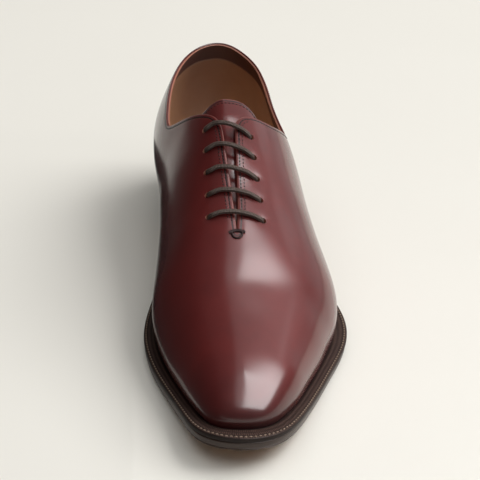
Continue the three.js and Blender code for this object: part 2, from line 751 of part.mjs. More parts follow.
const LEATHER = { color: 0x4a1418, roughness: 0.3, metalness: 0 };
const LINING = { color: 0x9c5f38, roughness: 0.6, metalness: 0 };
const WELT = { color: 0x1d1210, roughness: 0.45, metalness: 0 };
const SOLE = { color: 0x2b1b16, roughness: 0.4, metalness: 0 };
const RUBBER = { color: 0x151313, roughness: 0.7, metalness: 0 };
const LACE = { color: 0x3a2b24, roughness: 0.6, metalness: 0 };

const firstLift = TOP_PIECE_THICKNESS;
const pieces = [
  ['upper', makeUpper(), LEATHER],
  ['tongue', makeTongue(), LEATHER],
  ['insole', makeInsole(), LINING],
  ['welt', makeWelt(), WELT],
  ['outsole', makeOutsole(), SOLE],
  ['heel_top_piece', makeHeelPiece(0, firstLift), RUBBER],
  ['heel_lift_1', makeHeelPiece(firstLift, firstLift + LIFT_THICKNESS), SOLE],
  ['heel_lift_2', makeHeelPiece(firstLift + LIFT_THICKNESS, firstLift + 2 * LIFT_THICKNESS), SOLE],
  ['heel_lift_3', makeHeelPiece(firstLift + 2 * LIFT_THICKNESS, null), SOLE],
];
for (let row = 0; row < EYELET_ROWS; row++) {
  pieces.push(['lace_bar_' + (row + 1), makeLaceBar(row), LACE]);
}

// The origin is under the middle of the shoe, on the floor
const box = new THREE.Box3();
for (const [, geometry] of pieces) {
  geometry.computeBoundingBox();
  box.union(geometry.boundingBox);
}
const middle = box.getCenter(new THREE.Vector3());

const shoe = new THREE.Group();
shoe.name = 'whole_cut_oxford';
for (const [name, geometry, look] of pieces) {
  geometry.translate(-middle.x, -middle.y, 0);
  geometry.computeVertexNormals();
  const mesh = new THREE.Mesh(geometry, new THREE.MeshStandardMaterial(look));
  mesh.name = name;
  shoe.add(mesh);
}

export default shoe;
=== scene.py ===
# %% [markdown]
# # Whole cut oxford, left shoe
# A whole cut has an upper of one piece of leather, pulled over a last and stitched to a welt.
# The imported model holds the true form. This script dresses it: it works the form out again with
# many more points, and adds what a solid leaves out, such as seams, grain, polish and thread.

# %% Load the frame
import math

import bmesh
import bpy
import numpy as np
from mathutils import Matrix, Quaternion, Vector


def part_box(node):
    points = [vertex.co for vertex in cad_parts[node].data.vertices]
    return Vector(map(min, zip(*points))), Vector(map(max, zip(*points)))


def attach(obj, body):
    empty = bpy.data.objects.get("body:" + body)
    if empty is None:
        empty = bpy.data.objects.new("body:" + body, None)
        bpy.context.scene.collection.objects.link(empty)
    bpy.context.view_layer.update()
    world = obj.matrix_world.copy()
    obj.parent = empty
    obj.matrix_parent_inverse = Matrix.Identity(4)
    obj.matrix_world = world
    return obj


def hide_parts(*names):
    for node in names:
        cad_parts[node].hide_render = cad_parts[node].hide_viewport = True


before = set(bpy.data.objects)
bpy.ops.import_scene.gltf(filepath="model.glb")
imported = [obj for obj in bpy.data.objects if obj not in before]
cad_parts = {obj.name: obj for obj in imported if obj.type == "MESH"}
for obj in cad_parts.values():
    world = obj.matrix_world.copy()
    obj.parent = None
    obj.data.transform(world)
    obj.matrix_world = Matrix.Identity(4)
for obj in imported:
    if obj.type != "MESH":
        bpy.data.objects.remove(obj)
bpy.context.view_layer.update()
print("nodes:", ", ".join(sorted(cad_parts)))

# %% [markdown]
# ## The last
# Every piece hangs on the last, the wooden form of the foot. It is a row of sections from the
# heel (station 0) to the toe (station 16), and smooth curves run through each column of numbers.
# Lengths are shares of a few named sizes, so the form can be read, and changed, as a maker would.

# %% Sizes of the shoe, in millimetres
MM = 0.001
LENGTH = 304.0
BALL_WIDTH = 105.5
INSTEP_HEIGHT = 84.8
HEEL_HEIGHT = 24.5
TOE_SPRING = 11.5
SOLE_THICKNESS = 4.7
WELT_THICKNESS = 2.6
WELT_REACH = 10.0
FORM_SWELL = 10.0
WALL = 2.2
GAP = 0.3
CURVED_GAP = 0.4
INSOLE_THICKNESS = 3.0
HEEL_BREAST = 74.0
BREAST_HOLLOW = 4.0
HEEL_INSET = 1.0
HEEL_TAPER = 2.5
TOE = 16
LATERAL, MEDIAL = 1, -1
SIDES = (LATERAL, MEDIAL)
print("outsole:", LENGTH, "mm long, on a heel of", HEEL_HEIGHT, "mm")

# %% Side profile and sections, a value at each sixteenth of the length
PROFILE = {
    "heel": [1, 1, 1, 1, 0.95, 0.80, 0.59, 0.38, 0.19, 0, 0, 0, 0, 0, 0, 0, 0],
    "toe": [0, 0, 0, 0, 0, 0, 0, 0, 0, 0, 0, 0, 0, 0.12, 0.38, 0.69, 1],
    "ridge": [0.975, 0.975, 0.975, 0.97, 0.975, 0.99, 1, 0.98, 0.92, 0.835, 0.73, 0.623, 0.525,
              0.435, 0.346, 0.252, 0.138],
}
SECTION = {
    "edge": [0.007, 0.02, 0.066, 0.138, 0.225, 0.3125, 0.375, 0.4375, 0.5, 0.5625, 0.625, 0.69,
             0.763, 0.841, 0.912, 0.958, 0.965],
    "spine": [0.115, 0.125, 0.15, 0.195, 0.25, 0.3125, 0.375, 0.4375, 0.5, 0.5625, 0.622, 0.683,
              0.748, 0.812, 0.862, 0.893, 0.905],
    "middle": [0.006, 0.005, 0, -0.008, -0.02, -0.032, -0.038, -0.037, -0.031, -0.023, -0.02,
               -0.025, -0.033, -0.04, -0.044, -0.045, -0.046],
    "half_lat": [0.006, 0.155, 0.266, 0.295, 0.302, 0.333, 0.362, 0.378, 0.404, 0.441, 0.465,
                 0.458, 0.365, 0.267, 0.165, 0.07, -0.046],
    "half_med": [0.006, -0.143, -0.25, -0.305, -0.315, -0.29, -0.265, -0.272, -0.299, -0.337,
                 -0.375, -0.391, -0.356, -0.292, -0.236, -0.182, -0.046],
    "swell_lat": [0.45, 0.45, 0.42, 0.34, 0.32, 0.4, 0.47, 0.48, 0.48, 0.52, 0.52, 0.42, 0.34,
                  0.26, 0.22, 0.2, 0.2],
    "swell_med": [0.45, 0.45, 0.48, 0.64, 0.86, 0.95, 0.99, 0.96, 0.81, 0.63, 0.47, 0.4, 0.34,
                  0.28, 0.24, 0.2, 0.2],
    "full_lat": [0.95, 0.95, 0.97, 1.06, 1.12, 1.12, 1.11, 1.12, 1.13, 1.12, 1.08, 1.02, 0.93,
                 0.85, 0.8, 0.78, 0.78],
    "full_med": [0.95, 0.95, 0.95, 0.96, 0.98, 1.02, 1.04, 1.05, 1.05, 1.03, 1, 0.95, 0.9, 0.84,
                 0.8, 0.78, 0.78],
    "square_lat": [0.16, 0.17, 0.19, 0.2, 0.22, 0.24, 0.24, 0.21, 0.19, 0.18, 0.2, 0.25, 0.3,
                   0.35, 0.4, 0.42, 0.42],
    "square_med": [0.16, 0.14, 0.1, 0.07, 0.1, 0.22, 0.27, 0.27, 0.26, 0.25, 0.26, 0.28, 0.32,
                   0.36, 0.4, 0.42, 0.42],
    "rim_lat": [0.36, 0.36, 0.36, 0.36, 0.4, 0.46, 0.52, 0.6, 0.73, 0.91, 1.06, 0.91, 0.76, 0.74,
                0.79, 0.91, 1.09],
    "rim_med": [0.36, 0.36, 0.36, 0.36, 0.42, 0.48, 0.52, 0.54, 0.6, 0.68, 0.75, 0.76, 0.75, 0.71,
                0.72, 0.89, 1.09],
}
print("stations:", TOE + 1, "columns of the section table:", len(SECTION))

# %% Curves through the tables
def spline(values, t, before, after):
    """A cubic B-spline through evenly spaced values, with one more value past each end."""
    t = np.asarray(t, float)
    padded = np.array([before, *values, after], float)
    row = np.clip(np.floor(t).astype(int), 0, len(values) - 2)
    f = t - row
    weights = ((1 - f) ** 3, 3 * f**3 - 6 * f**2 + 4, 1 + 3 * f + 3 * f**2 - 3 * f**3, f**3)
    return sum(w * padded[row + k] for k, w in enumerate(weights)) / 6


def straight_on(values, t):
    return spline(values, t, 2 * values[0] - values[1], 2 * values[-1] - values[-2])


def section(name, t):
    return spline(SECTION[name], t, SECTION[name][1], SECTION[name][-2])


def sided(name, t, side):
    """A column with a value a side: past heel and toe each side runs into the other."""
    near, far = ("_lat", "_med") if side > 0 else ("_med", "_lat")
    other = SECTION[name + far]
    return spline(SECTION[name + near], t, other[1], other[-2])


def profile(name, s):
    return straight_on(PROFILE[name], np.clip(s / LENGTH * TOE, -0.4, TOE + 0.4))


def tread(s):
    return HEEL_HEIGHT * profile("heel", s) + TOE_SPRING * profile("toe", s)


def sole_top(s):
    return tread(s) + SOLE_THICKNESS


def seat(s):
    return sole_top(s) + GAP


def ridge(s):
    return seat(s) + INSTEP_HEIGHT * profile("ridge", s)


print("highest point of the last, mm:", round(ridge(np.linspace(0, LENGTH, 200)).max(), 1))


# %% The edge of the last in plan, and lines at a distance from it
NUDGE = 0.01


def edge_point(t, side):
    return sided("half", t, side) * BALL_WIDTH, section("edge", t) * LENGTH


def edge_normal(t, side):
    """The direction away from the last in plan, from two points a nudge apart."""
    ax, a_s = edge_point(t - NUDGE, side)
    bx, b_s = edge_point(t + NUDGE, side)
    nx, ns = (b_s - a_s) * side, (ax - bx) * side
    size = np.hypot(nx, ns)
    at_end = (t < 0.001) | (t > TOE - 0.001)
    return np.where(at_end, 0, nx / size), np.where(at_end, np.sign(t - 1), ns / size)


def outline(t, side, offset):
    x, s = edge_point(t, side)
    nx, ns = edge_normal(t, side)
    return x + nx * offset, s + ns * offset


def rim_offset(t, side):
    return sided("rim", t, side) * WELT_REACH


BALL = 10.0
print("last's width at the ball, mm:", round(edge_point(BALL, LATERAL)[0] - edge_point(BALL, MEDIAL)[0], 1))


# %% A point of the form, and its outward direction
def form(t, angle, side):
    """Station t, angle round the section from the sole (0) to the ridge (a quarter turn)."""
    t, angle = np.broadcast_arrays(np.asarray(t, float), np.asarray(angle, float))
    edge_x, edge_s = edge_point(t, side)
    spine_x, spine_s = section("middle", t) * BALL_WIDTH, section("spine", t) * LENGTH
    c, sn = np.cos(angle), np.maximum(np.sin(angle), 1e-9)
    blend = 0.5 + 0.5 * side * c * (3 - c * c) / 2
    full = sided("full", t, MEDIAL) * (1 - blend) + sided("full", t, LATERAL) * blend
    square = sided("square", t, MEDIAL) * (1 - blend) + sided("square", t, LATERAL) * blend
    h, v = c * (1 + square * sn * sn), sn**full
    dx, ds = edge_x - spine_x, edge_s - spine_s
    swell = sided("swell", t, side) * FORM_SWELL * 27 / 4 * v * (1 - v) ** 2 / np.hypot(dx, ds)
    x, s = spine_x + dx * (h + swell), spine_s + ds * (h + swell)
    return np.stack([x, s, seat(edge_s) * (1 - v) + ridge(s) * v], -1)


def unit(v):
    return v / np.maximum(np.linalg.norm(v, axis=-1, keepdims=True), 1e-12)


def form_normal(t, angle, side):
    """The form's outward direction. Where both sides meet it is the mean of theirs."""
    t, angle = np.broadcast_arrays(np.asarray(t, float), np.asarray(angle, float))
    tt, aa = np.clip(t, 0.06, TOE - 0.06), np.clip(angle, 0.03, math.pi / 2)

    def one(sd):
        along = form(tt + 2 * NUDGE, aa, sd) - form(tt - 2 * NUDGE, aa, sd)
        across = form(tt, aa + NUDGE, sd) - form(tt, aa - NUDGE, sd)
        return unit(np.cross(along, across) * sd)

    here = one(side)
    shared = (t < NUDGE) | (t > TOE - NUDGE) | (angle > math.pi / 2 - 0.001)
    return np.where(shared[..., None], unit(here + one(-side)), here)


def inside_form(t, angle, side, depth):
    return form(t, angle, side) - form_normal(t, angle, side) * np.asarray(depth)[..., None]


# %% Finding a place on the form
HALVINGS = 30


def halve(low, high, is_below):
    """Narrows a range of angles, halving it until its ends meet where is_below turns false."""
    for _ in range(HALVINGS):
        middle = (low + high) / 2
        below = is_below(middle)
        low, high = np.where(below, middle, low), np.where(below, high, middle)
    return low, high


def angle_across(t, distance, side):
    """The angle at which the form stands a distance across from its middle line."""
    t, distance = np.broadcast_arrays(np.asarray(t, float), np.asarray(distance, float))
    spine = section("middle", t) * BALL_WIDTH
    low, high = halve(np.full(t.shape, 0.5), np.full(t.shape, math.pi / 2),
                      lambda angle: np.abs(form(t, angle, side)[..., 0] - spine) > distance)
    return (low + high) / 2


STATIONS = np.linspace(0, TOE, 1601)


def station_along(s):
    return np.interp(s, section("spine", STATIONS) * LENGTH, STATIONS)


print("station 120 mm from the heel:", round(station_along(120.0), 2))


# %% [markdown]
# ## From the shoe's own measures to the frame
# The tables count across from the last's middle and along from the back of the heel. The frame's
# origin is under the middle of the shoe's box and its toe points to -Y. The welt stands out
# furthest all round, so its box in the frame says how far the two lie apart.

# %% Place in the frame
rims = [outline(STATIONS, side, rim_offset(STATIONS, side)) for side in SIDES]
own_x = [value for x, _ in rims for value in (x.min(), x.max())]
own_s = [value for _, s in rims for value in (s.min(), s.max())]
low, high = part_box("welt")
MIDDLE_X = (min(own_x) + max(own_x)) / 2 - (low.x + high.x) / 2 / MM
MIDDLE_S = (min(own_s) + max(own_s)) / 2 + (low.y + high.y) / 2 / MM


def to_frame(points):
    """Across, along, up in millimetres to the frame's metres."""
    p = np.asarray(points, float)
    return np.stack([p[..., 0] - MIDDLE_X, MIDDLE_S - p[..., 1], p[..., 2]], -1) * MM


def turn(vectors):
    """Directions, which turn with the place but don't shift or scale."""
    return np.asarray(vectors) * [1, -1, 1]


print("middle of the shoe:", round(MIDDLE_X, 2), round(MIDDLE_S, 2))

# %% [markdown]
# ## Meshes from nets of points
# Most pieces are nets: rows of points that run round the shoe, columns that run across. A net
# is worked out with arrays, which is fast, and Blender gets vertices and faces at the end. Where
# nets share an edge their points coincide, and merging by distance closes the piece.

# %% Nets of points, gathered into a piece
MERGE = 0.02


class Cut:
    """Gathers nets of points into one piece."""

    def __init__(self, name):
        self.name = name
        self.points, self.faces, self.finishes, self.uvs = [], [], [], []
        self.count = 0

    def net(self, points, finish=0, ring=False, uv=None):
        """ring closes each row on itself, uv gives a coordinate a row and a coordinate a column."""
        rows, columns = points.shape[:2]
        i = np.arange(rows - 1)[:, None]
        j = np.arange(columns if ring else columns - 1)[None, :]
        start, beyond, j2 = i * columns, (i + 1) * columns, (j + 1) % columns
        quads = np.stack([start + j, start + j2, beyond + j2, beyond + j], -1)
        self.faces.append(quads.reshape(-1, 4) + self.count)
        self.points.append(points.reshape(-1, 3))
        self.finishes.append(np.full(quads.shape[0] * quads.shape[1], finish))
        if uv is None:
            corners = np.zeros((*quads.shape[:2], 4, 2))
        else:
            i, j = np.broadcast_arrays(i, j)
            along, across = np.stack([i, i, i + 1, i + 1], -1), np.stack([j, j + 1, j + 1, j], -1)
            corners = np.stack([uv[0][along], uv[1][across]], -1)
        self.uvs.append(corners.reshape(-1, 2))
        self.count += rows * columns

    def fan(self, ring, centre, finish=0):
        """Closes a ring of points with triangles to its centre."""
        n = len(ring)
        j = np.arange(n)
        triangles = np.stack([j, (j + 1) % n, np.full(n, n)], -1) + self.count
        self.faces.append(triangles)
        self.points.append(np.concatenate([ring, [centre]]))
        self.finishes.append(np.full(n, finish))
        self.uvs.append(np.zeros((3 * n, 2)))
        self.count += n + 1

    def sew(self, *materials, merge=MERGE):
        """Merges what touches, turns the faces outwards and makes the object."""
        mesh = bpy.data.meshes.new(self.name)
        faces = [face for block in self.faces for face in block.tolist()]
        mesh.from_pydata(to_frame(np.concatenate(self.points)).tolist(), [], faces)
        mesh.polygons.foreach_set("material_index", np.concatenate(self.finishes).astype(np.int32))
        layer = mesh.uv_layers.new(name="UVMap")
        layer.data.foreach_set("uv", np.concatenate(self.uvs).astype(np.float32).ravel())
        tidy_mesh(mesh, merge)
        return put(self.name, mesh, *materials)


# %% A clean mesh, its place in the scene and on the shoe
SHARP = math.radians(50)


def tidy_mesh(mesh, merge):
    bm = bmesh.new()
    bm.from_mesh(mesh)
    bmesh.ops.remove_doubles(bm, verts=bm.verts, dist=merge * MM)
    bmesh.ops.dissolve_degenerate(bm, edges=bm.edges, dist=merge * MM / 4)
    bmesh.ops.recalc_face_normals(bm, faces=bm.faces)
    open_edges = sum(len(edge.link_faces) != 2 for edge in bm.edges)
    for face in bm.faces:
        face.smooth = True
    bm.to_mesh(mesh)
    bm.free()
    mesh.set_sharp_from_angle(angle=SHARP)
    print(mesh.name, "faces:", len(mesh.polygons), "open edges:", open_edges)


def put(name, data, *materials):
    """Puts a mesh, a light or a camera into the scene."""
    thing = bpy.data.objects.new(name, data)
    bpy.context.scene.collection.objects.link(thing)
    for material in materials:
        data.materials.append(material)
    return thing


def hand_over(piece, slot_name, *nodes):
    """Gives the piece the shoe's one body, and hides the nodes that it stands for. Its slot_name is not
    used.
    """
    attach(piece, "root")
    if nodes:
        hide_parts(*nodes)
    return piece


# %% [markdown]
# ## Materials as sums
# A material is a small program of nodes. Writing it as sums keeps it readable: one class wraps
# a socket, and adding or multiplying two of them adds the Math node that does it.

# %% Helpers for materials
class Wire:
    """An output of a node that can be used in sums."""

    def __init__(self, recipe, socket):
        self.recipe, self.socket = recipe, socket

    def maths(self, operation, a, b=0.0, c=0.0):
        return self.recipe.make("ShaderNodeMath", {"operation": operation}, {0: a, 1: b, 2: c})

    def __add__(self, other):
        return self.maths("ADD", self, other)

    def __sub__(self, other):
        return self.maths("SUBTRACT", self, other)

    def __rsub__(self, other):
        return self.maths("SUBTRACT", other, self)

    def __mul__(self, other):
        return self.maths("MULTIPLY", self, other)

    def __truediv__(self, other):
        return self.maths("DIVIDE", self, other)

    __radd__ = __add__
    __rmul__ = __mul__

    def sine(self):
        return self.maths("SINE", self)

    def clipped(self):
        return self.maths("MINIMUM", self.maths("MAXIMUM", self, 0.0), 1.0)

    def rise(self, start, end):
        """0 before start, 1 after end, smooth between; falls where start is the larger."""
        t = ((self - start) / (end - start)).clipped()
        return t * t * (3 - 2 * t)

    def band(self, centre, half, soft=0.3):
        """1 within half of centre, and 0 further out."""
        away = self.maths("ABSOLUTE", self - centre)
        return away.rise(half, half * (1 - soft))


# %% The nodes of one material
class Recipe:
    """The node tree of one material."""

    def __init__(self, name):
        self.material = bpy.data.materials.new(name)
        self.material.use_nodes = True
        self.tree = self.material.node_tree
        self.tree.nodes.clear()

    def make(self, kind, settings=None, sockets=None, out=0):
        node = self.tree.nodes.new(kind)
        for key, value in (settings or {}).items():
            setattr(node, key, value)
        for key, value in (sockets or {}).items():
            if isinstance(value, Wire):
                self.tree.links.new(value.socket, node.inputs[key])
            else:
                node.inputs[key].default_value = value
        return Wire(self, node.outputs[out])

    def split(self, vector):
        """The three parts of a vector."""
        first = self.make("ShaderNodeSeparateXYZ", sockets={0: vector})
        return [Wire(self, part) for part in first.socket.node.outputs]

    def place(self):
        return self.make("ShaderNodeTexCoord", out="Object")

    def noted(self, name):
        """A value that the mesh carries at each point."""
        return self.make("ShaderNodeAttribute", {"attribute_name": name}, out="Fac")

    def uv(self):
        return self.split(self.make("ShaderNodeUVMap", {"uv_map": "UVMap"}))[:2]

    def noise(self, size_mm, detail=2.0, rough=0.5):
        return self.make("ShaderNodeTexNoise", sockets={
            "Vector": self.place(), "Scale": 1 / (size_mm * MM), "Detail": detail, "Roughness": rough})

    def cells(self, size_mm):
        return self.make("ShaderNodeTexVoronoi", sockets={
            "Vector": self.place(), "Scale": 1 / (size_mm * MM)}, out="Distance")

    def mix(self, a, b, factor):
        colours = [(*c, 1) if isinstance(c, tuple) else c for c in (a, b)]
        return self.make("ShaderNodeMix", {"data_type": "RGBA"}, {
            0: factor, 6: colours[0], 7: colours[1]}, out=2)

    def bump(self, height, depth_mm):
        return self.make("ShaderNodeBump", sockets={
            "Height": height, "Distance": depth_mm * MM, "Strength": 1.0})

    def surface(self, **sockets):
        named = {key.replace("_", " "): value for key, value in sockets.items()}
        colour = named["Base Color"]
        if isinstance(colour, tuple):
            named["Base Color"] = (*colour, 1)
        shader = self.make("ShaderNodeBsdfPrincipled", sockets=named)
        end = self.tree.nodes.new("ShaderNodeOutputMaterial")
        self.tree.links.new(shader.socket, end.inputs["Surface"])
        return self.material


# %% [markdown]
# ## The finishes
# Calf is dyed, then waxed and polished. The dye lies deeper in some places than in others, fine
# pores stay under the gloss, and the polish is a clear coat. Cut edges are rougher and lighter,
# and the first stitched row, FIRST_ROW millimetres from the edge, is pulled a little into the
# leather, with painted shade in its groove.

# %% Burgundy calf, polished
FIRST_ROW = 1.7
PULLED_IN = 1.9
DEEP_RED = (0.066, 0.0075, 0.007)
BRIGHT_RED = (0.125, 0.0115, 0.010)
# dark of the burnished polish, used also as painted shade on the inner side
BURNISHED_AND_SHADE = (0.03, 0.0045, 0.005)
BARE_EDGE = (0.28, 0.1, 0.075)
ROW_SHADOW = (0.008, 0.002, 0.002)


def make_burgundy_calf():
    r = Recipe("burgundy_calf")
    edge = r.noted("edge_mm")
    cloudy = r.noise(34, 3)
    mottled = r.noise(7, 4, 0.6)
    pores = r.noise(0.55, 3, 0.6)
    grain = r.cells(1.1)
    burnish_and_shade = r.noted("antique_and_shade")
    colour = r.mix(DEEP_RED, BRIGHT_RED, (cloudy * 0.9 + mottled * 0.35 - 0.1).clipped())
    # darker at toe and heel from polish, on the inner side from painted shade, and down to the sole
    colour = r.mix(colour, BURNISHED_AND_SHADE, burnish_and_shade * 0.75)
    colour = r.mix(colour, BARE_EDGE, edge.rise(0.5, 0.2) * 0.55)
    # painted shade in the groove of the first stitched row
    colour = r.mix(colour, ROW_SHADOW, edge.band(FIRST_ROW, 0.5, 0.4) * 0.9)
    pull = edge.band(PULLED_IN, 0.8, 1.0) * 0.5
    height = pores * 0.35 + grain * 0.2 - pull * 4 + mottled * 0.6
    normal = r.bump(height, 0.045)
    rough = 0.4 + mottled * 0.1 + pores * 0.05
    return r.surface(Base_Color=colour, Roughness=rough, Normal=normal, Specular_IOR_Level=0.1,
                     Coat_Weight=1.0, Coat_Roughness=0.19, Coat_IOR=1.5)


# %% Lining, insole and cut edges
COLLAR_BAND = 12.0


def make_lining():
    """Tan, darker in a band round the mouth, down to a seam COLLAR_BAND millimetres down."""
    r = Recipe("lining_leather")
    edge = r.noted("edge_mm")
    cloudy, fibres = r.noise(18, 3), r.noise(0.7, 4, 0.65)
    tan = r.mix((0.36, 0.19, 0.1), (0.48, 0.275, 0.155), cloudy)
    dark = r.mix((0.075, 0.026, 0.016), (0.12, 0.042, 0.024), fibres)
    colour = r.mix(tan, dark, edge.rise(COLLAR_BAND + 1, COLLAR_BAND - 1))
    seam = edge.band(COLLAR_BAND, 0.5)
    normal = r.bump(fibres + r.cells(0.9) * 0.5 - seam * 3, 0.06)
    return r.surface(Base_Color=colour, Roughness=0.5 + fibres * 0.16, Normal=normal)


def make_cut_edge():
    r = Recipe("cut_edge")
    fibres = r.noise(0.25, 4, 0.7)
    colour = r.mix((0.26, 0.085, 0.055), (0.44, 0.19, 0.12), fibres)
    return r.surface(Base_Color=colour, Roughness=0.62, Normal=r.bump(fibres, 0.05))


def make_insole_leather():
    r = Recipe("insole_leather")
    cloudy, fibres = r.noise(22, 4), r.noise(0.6, 4, 0.65)
    colour = r.mix((0.36, 0.165, 0.07), (0.5, 0.255, 0.12), cloudy * 0.8 + fibres * 0.2)
    normal = r.bump(fibres + r.cells(0.8) * 0.6, 0.07)
    return r.surface(Base_Color=colour, Roughness=0.48 + fibres * 0.15, Normal=normal)


# %% Welt, sole edge, heel and top piece
FULL_TURN = 2 * math.pi
WHEEL_PITCH = 1.1
WHEEL_ROWS = 0.3
SOLE_LAYER = 1.6
HEEL_LAYER = 1.2


def make_welt_leather():
    r = Recipe("welt_leather")
    along, out = r.uv()
    top = out.band(0.6, 0.42, 0.2)
    uneven, fibres, cloudy = r.noise(1.6, 2), r.noise(0.45, 4, 0.65), r.noise(9, 3)
    wheel = (along * (FULL_TURN / WHEEL_PITCH) + uneven * 1.5).sine() * 0.5 + 0.5
    rows = (out * (FULL_TURN / WHEEL_ROWS) + uneven * 2).sine() * 0.5 + 0.5
    marks = wheel * rows * top
    # painted shade in the crease where the welt meets the upper
    crease_shade = out.rise(0.3, 0.05)
    colour = r.mix((0.009, 0.0045, 0.0035), (0.02, 0.01, 0.0075), cloudy)
    # the wheel marks are dents in the bump below, and their lighter colour is a painted highlight on the
    # ridges
    colour = r.mix(colour, (0.11, 0.062, 0.048), (marks * fibres * 1.6).clipped() * 0.6)
    colour = r.mix(colour, (0.003, 0.002, 0.002), crease_shade * 0.9)
    normal = r.bump(marks * 0.8 + fibres * 0.4, 0.2)
    return r.surface(Base_Color=colour, Roughness=0.5 + fibres * 0.2, Normal=normal,
                     Specular_IOR_Level=0.15, Coat_Weight=0.06, Coat_Roughness=0.3)


def make_edge_leather(name, layer_mm):
    """Stacked leather, sanded and inked, with its layers as faint lines round the edge."""
    r = Recipe(name)
    up = r.split(r.place())[2]
    fibres = r.noise(0.45, 4, 0.7)
    cloudy = r.noise(14, 4)
    layers = (up * (FULL_TURN / (layer_mm * MM)) + cloudy * 2.4).sine() * 0.5 + 0.5
    colour = r.mix((0.024, 0.012, 0.008), (0.055, 0.029, 0.02), cloudy * 0.8 + layers * 0.2)
    normal = r.bump(fibres * 0.5 + layers * 0.25 + cloudy * 0.5, 0.09)
    return r.surface(Base_Color=colour, Roughness=0.34 + fibres * 0.12, Normal=normal,
                     Specular_IOR_Level=0.25, Coat_Weight=0.3, Coat_Roughness=0.22)


def make_tread_leather():
    r = Recipe("tread_leather")
    fibres, cloudy = r.noise(0.5, 5, 0.7), r.noise(20, 4)
    colour = r.mix((0.2, 0.1, 0.05), (0.34, 0.19, 0.1), cloudy * 0.8 + fibres * 0.2)
    return r.surface(Base_Color=colour, Roughness=0.5 + fibres * 0.2, Normal=r.bump(fibres, 0.08))


def make_rubber():
    r = Recipe("top_piece_rubber")
    speckle, dust = r.noise(0.35, 3), r.noise(8, 4)
    colour = r.mix((0.012, 0.011, 0.011), (0.034, 0.03, 0.028), dust)
    return r.surface(Base_Color=colour, Roughness=0.62 + speckle * 0.15,
                     Normal=r.bump(speckle, 0.06))


# %% Thread and lace
BRAID_PITCH = 1.5
BRAID_STRANDS = 4


def make_thread(name, dark, light):
    r = Recipe(name)
    twist = r.noise(0.3, 2)
    return r.surface(Base_Color=r.mix(dark, light, twist), Roughness=0.6,
                     Normal=r.bump(twist, 0.05), Specular_IOR_Level=0.2)


def make_waxed_lace():
    """A round braid: two families of strands cross round the cord, under a thin wax."""
    r = Recipe("waxed_lace")
    along, around = r.uv()
    run, lap = along * (FULL_TURN / BRAID_PITCH), around * (FULL_TURN * BRAID_STRANDS)
    braid = (run + lap).sine() * (run - lap).sine()
    fuzz = r.noise(0.35, 3)
    colour = r.mix((0.02, 0.012, 0.009), (0.085, 0.055, 0.042), (braid * 0.35 + 0.45 + fuzz * 0.2))
    return r.surface(Base_Color=colour, Roughness=0.5 + fuzz * 0.12, Specular_IOR_Level=0.3,
                     Normal=r.bump(braid + fuzz * 0.6, 0.11))


calf = make_burgundy_calf()
lining = make_lining()
cut_edge = make_cut_edge()
insole_leather = make_insole_leather()
welt_leather = make_welt_leather()
sole_edge = make_edge_leather("sole_edge", SOLE_LAYER)
heel_edge = make_edge_leather("heel_edge", HEEL_LAYER)
tread_leather = make_tread_leather()
rubber = make_rubber()
upper_thread = make_thread("upper_thread", (0.004, 0.0015, 0.0015), (0.02, 0.006, 0.005))
welt_thread = make_thread("welt_thread", (0.11, 0.07, 0.05), (0.36, 0.27, 0.2))
waxed_lace = make_waxed_lace()
print("materials:", len(bpy.data.materials))

# %% [markdown]
# ## The mouth
# The leather is cut open down the instep, its top corners are rounded, and the topline runs
# round the ankle. The table gives that cut edge from the foot of the slit to the back: where the
# edge lies on the form, and at which station the same row of the net meets the sole.

# %% The cut edge of the mouth
MOUTH = {
    "foot": [10.42, 10.1, 9.73, 9.35, 8.95, 8.55, 8.1, 7.6, 7.1, 6.65, 6.2, 5.75, 5.3, 4.8, 4.2,
             3.5, 2.8, 2.1, 1.4, 0.7, 0],
    "station_lat": [10.42, 9.86, 9.06, 8.29, 7.61, 7.08, 6.84, 6.73, 6.62, 6.32, 5.96, 5.55, 5.17,
                    4.66, 4.08, 3.42, 2.75, 2.1, 1.4, 0.7, 0],
    "station_med": [10.42, 9.86, 9.22, 8.55, 7.89, 7.3, 6.89, 6.55, 6.21, 5.87, 5.53, 5.22, 4.98,
                    4.61, 4.11, 3.45, 2.75, 2.1, 1.4, 0.7, 0],
    "angle_lat": [90, 88.8, 88, 87.2, 86.1, 85.4, 79.9, 70.9, 61.9, 54.2, 46.6, 40, 36.4, 35.5,
                  35.9, 37.1, 38.4, 40, 43, 47.4, 48.6],
    "angle_med": [90, 88.8, 88, 86.9, 85.5, 84.8, 79.6, 69.9, 61, 53, 45.6, 38.9, 35.9, 36.4, 37.9,
                  39.2, 40.5, 42.5, 45.4, 47.4, 48.6],
}
VAMP_STEP = 0.07
MOUTH_STEP = 0.1


def mouth_column(name, step):
    values = MOUTH[name]
    after = values[-2] if name.startswith("angle") else 2 * values[-1] - values[-2]
    return spline(values, step, 2 * values[0] - values[1], after)


def wall_rows(side):
    """Foot, station and angle of every row, and how many rows are closed over the instep."""
    suffix = "_lat" if side > 0 else "_med"
    slit_foot = MOUTH["foot"][0]
    closed = np.linspace(TOE, slit_foot, int((TOE - slit_foot) / VAMP_STEP) + 1)[:-1]
    step = np.linspace(0, len(MOUTH["foot"]) - 1, int((len(MOUTH["foot"]) - 1) / MOUTH_STEP) + 1)
    foot = np.concatenate([closed, mouth_column("foot", step)])
    station = np.concatenate([closed, mouth_column("station" + suffix, step)])
    top = np.concatenate([np.full(len(closed), 90.0), mouth_column("angle" + suffix, step)])
    return foot, station, np.radians(top), len(closed)


def wall_net(side, u):
    """Stations and angles of the wall's net, for shares u of the way up."""
    foot, station, top, _ = wall_rows(side)
    t = foot[:, None] + (station - foot)[:, None] * u[None, :] ** 2
    return t, top[:, None] * u[None, :]


print("rows of the wall, a side:", len(wall_rows(LATERAL)[0]))


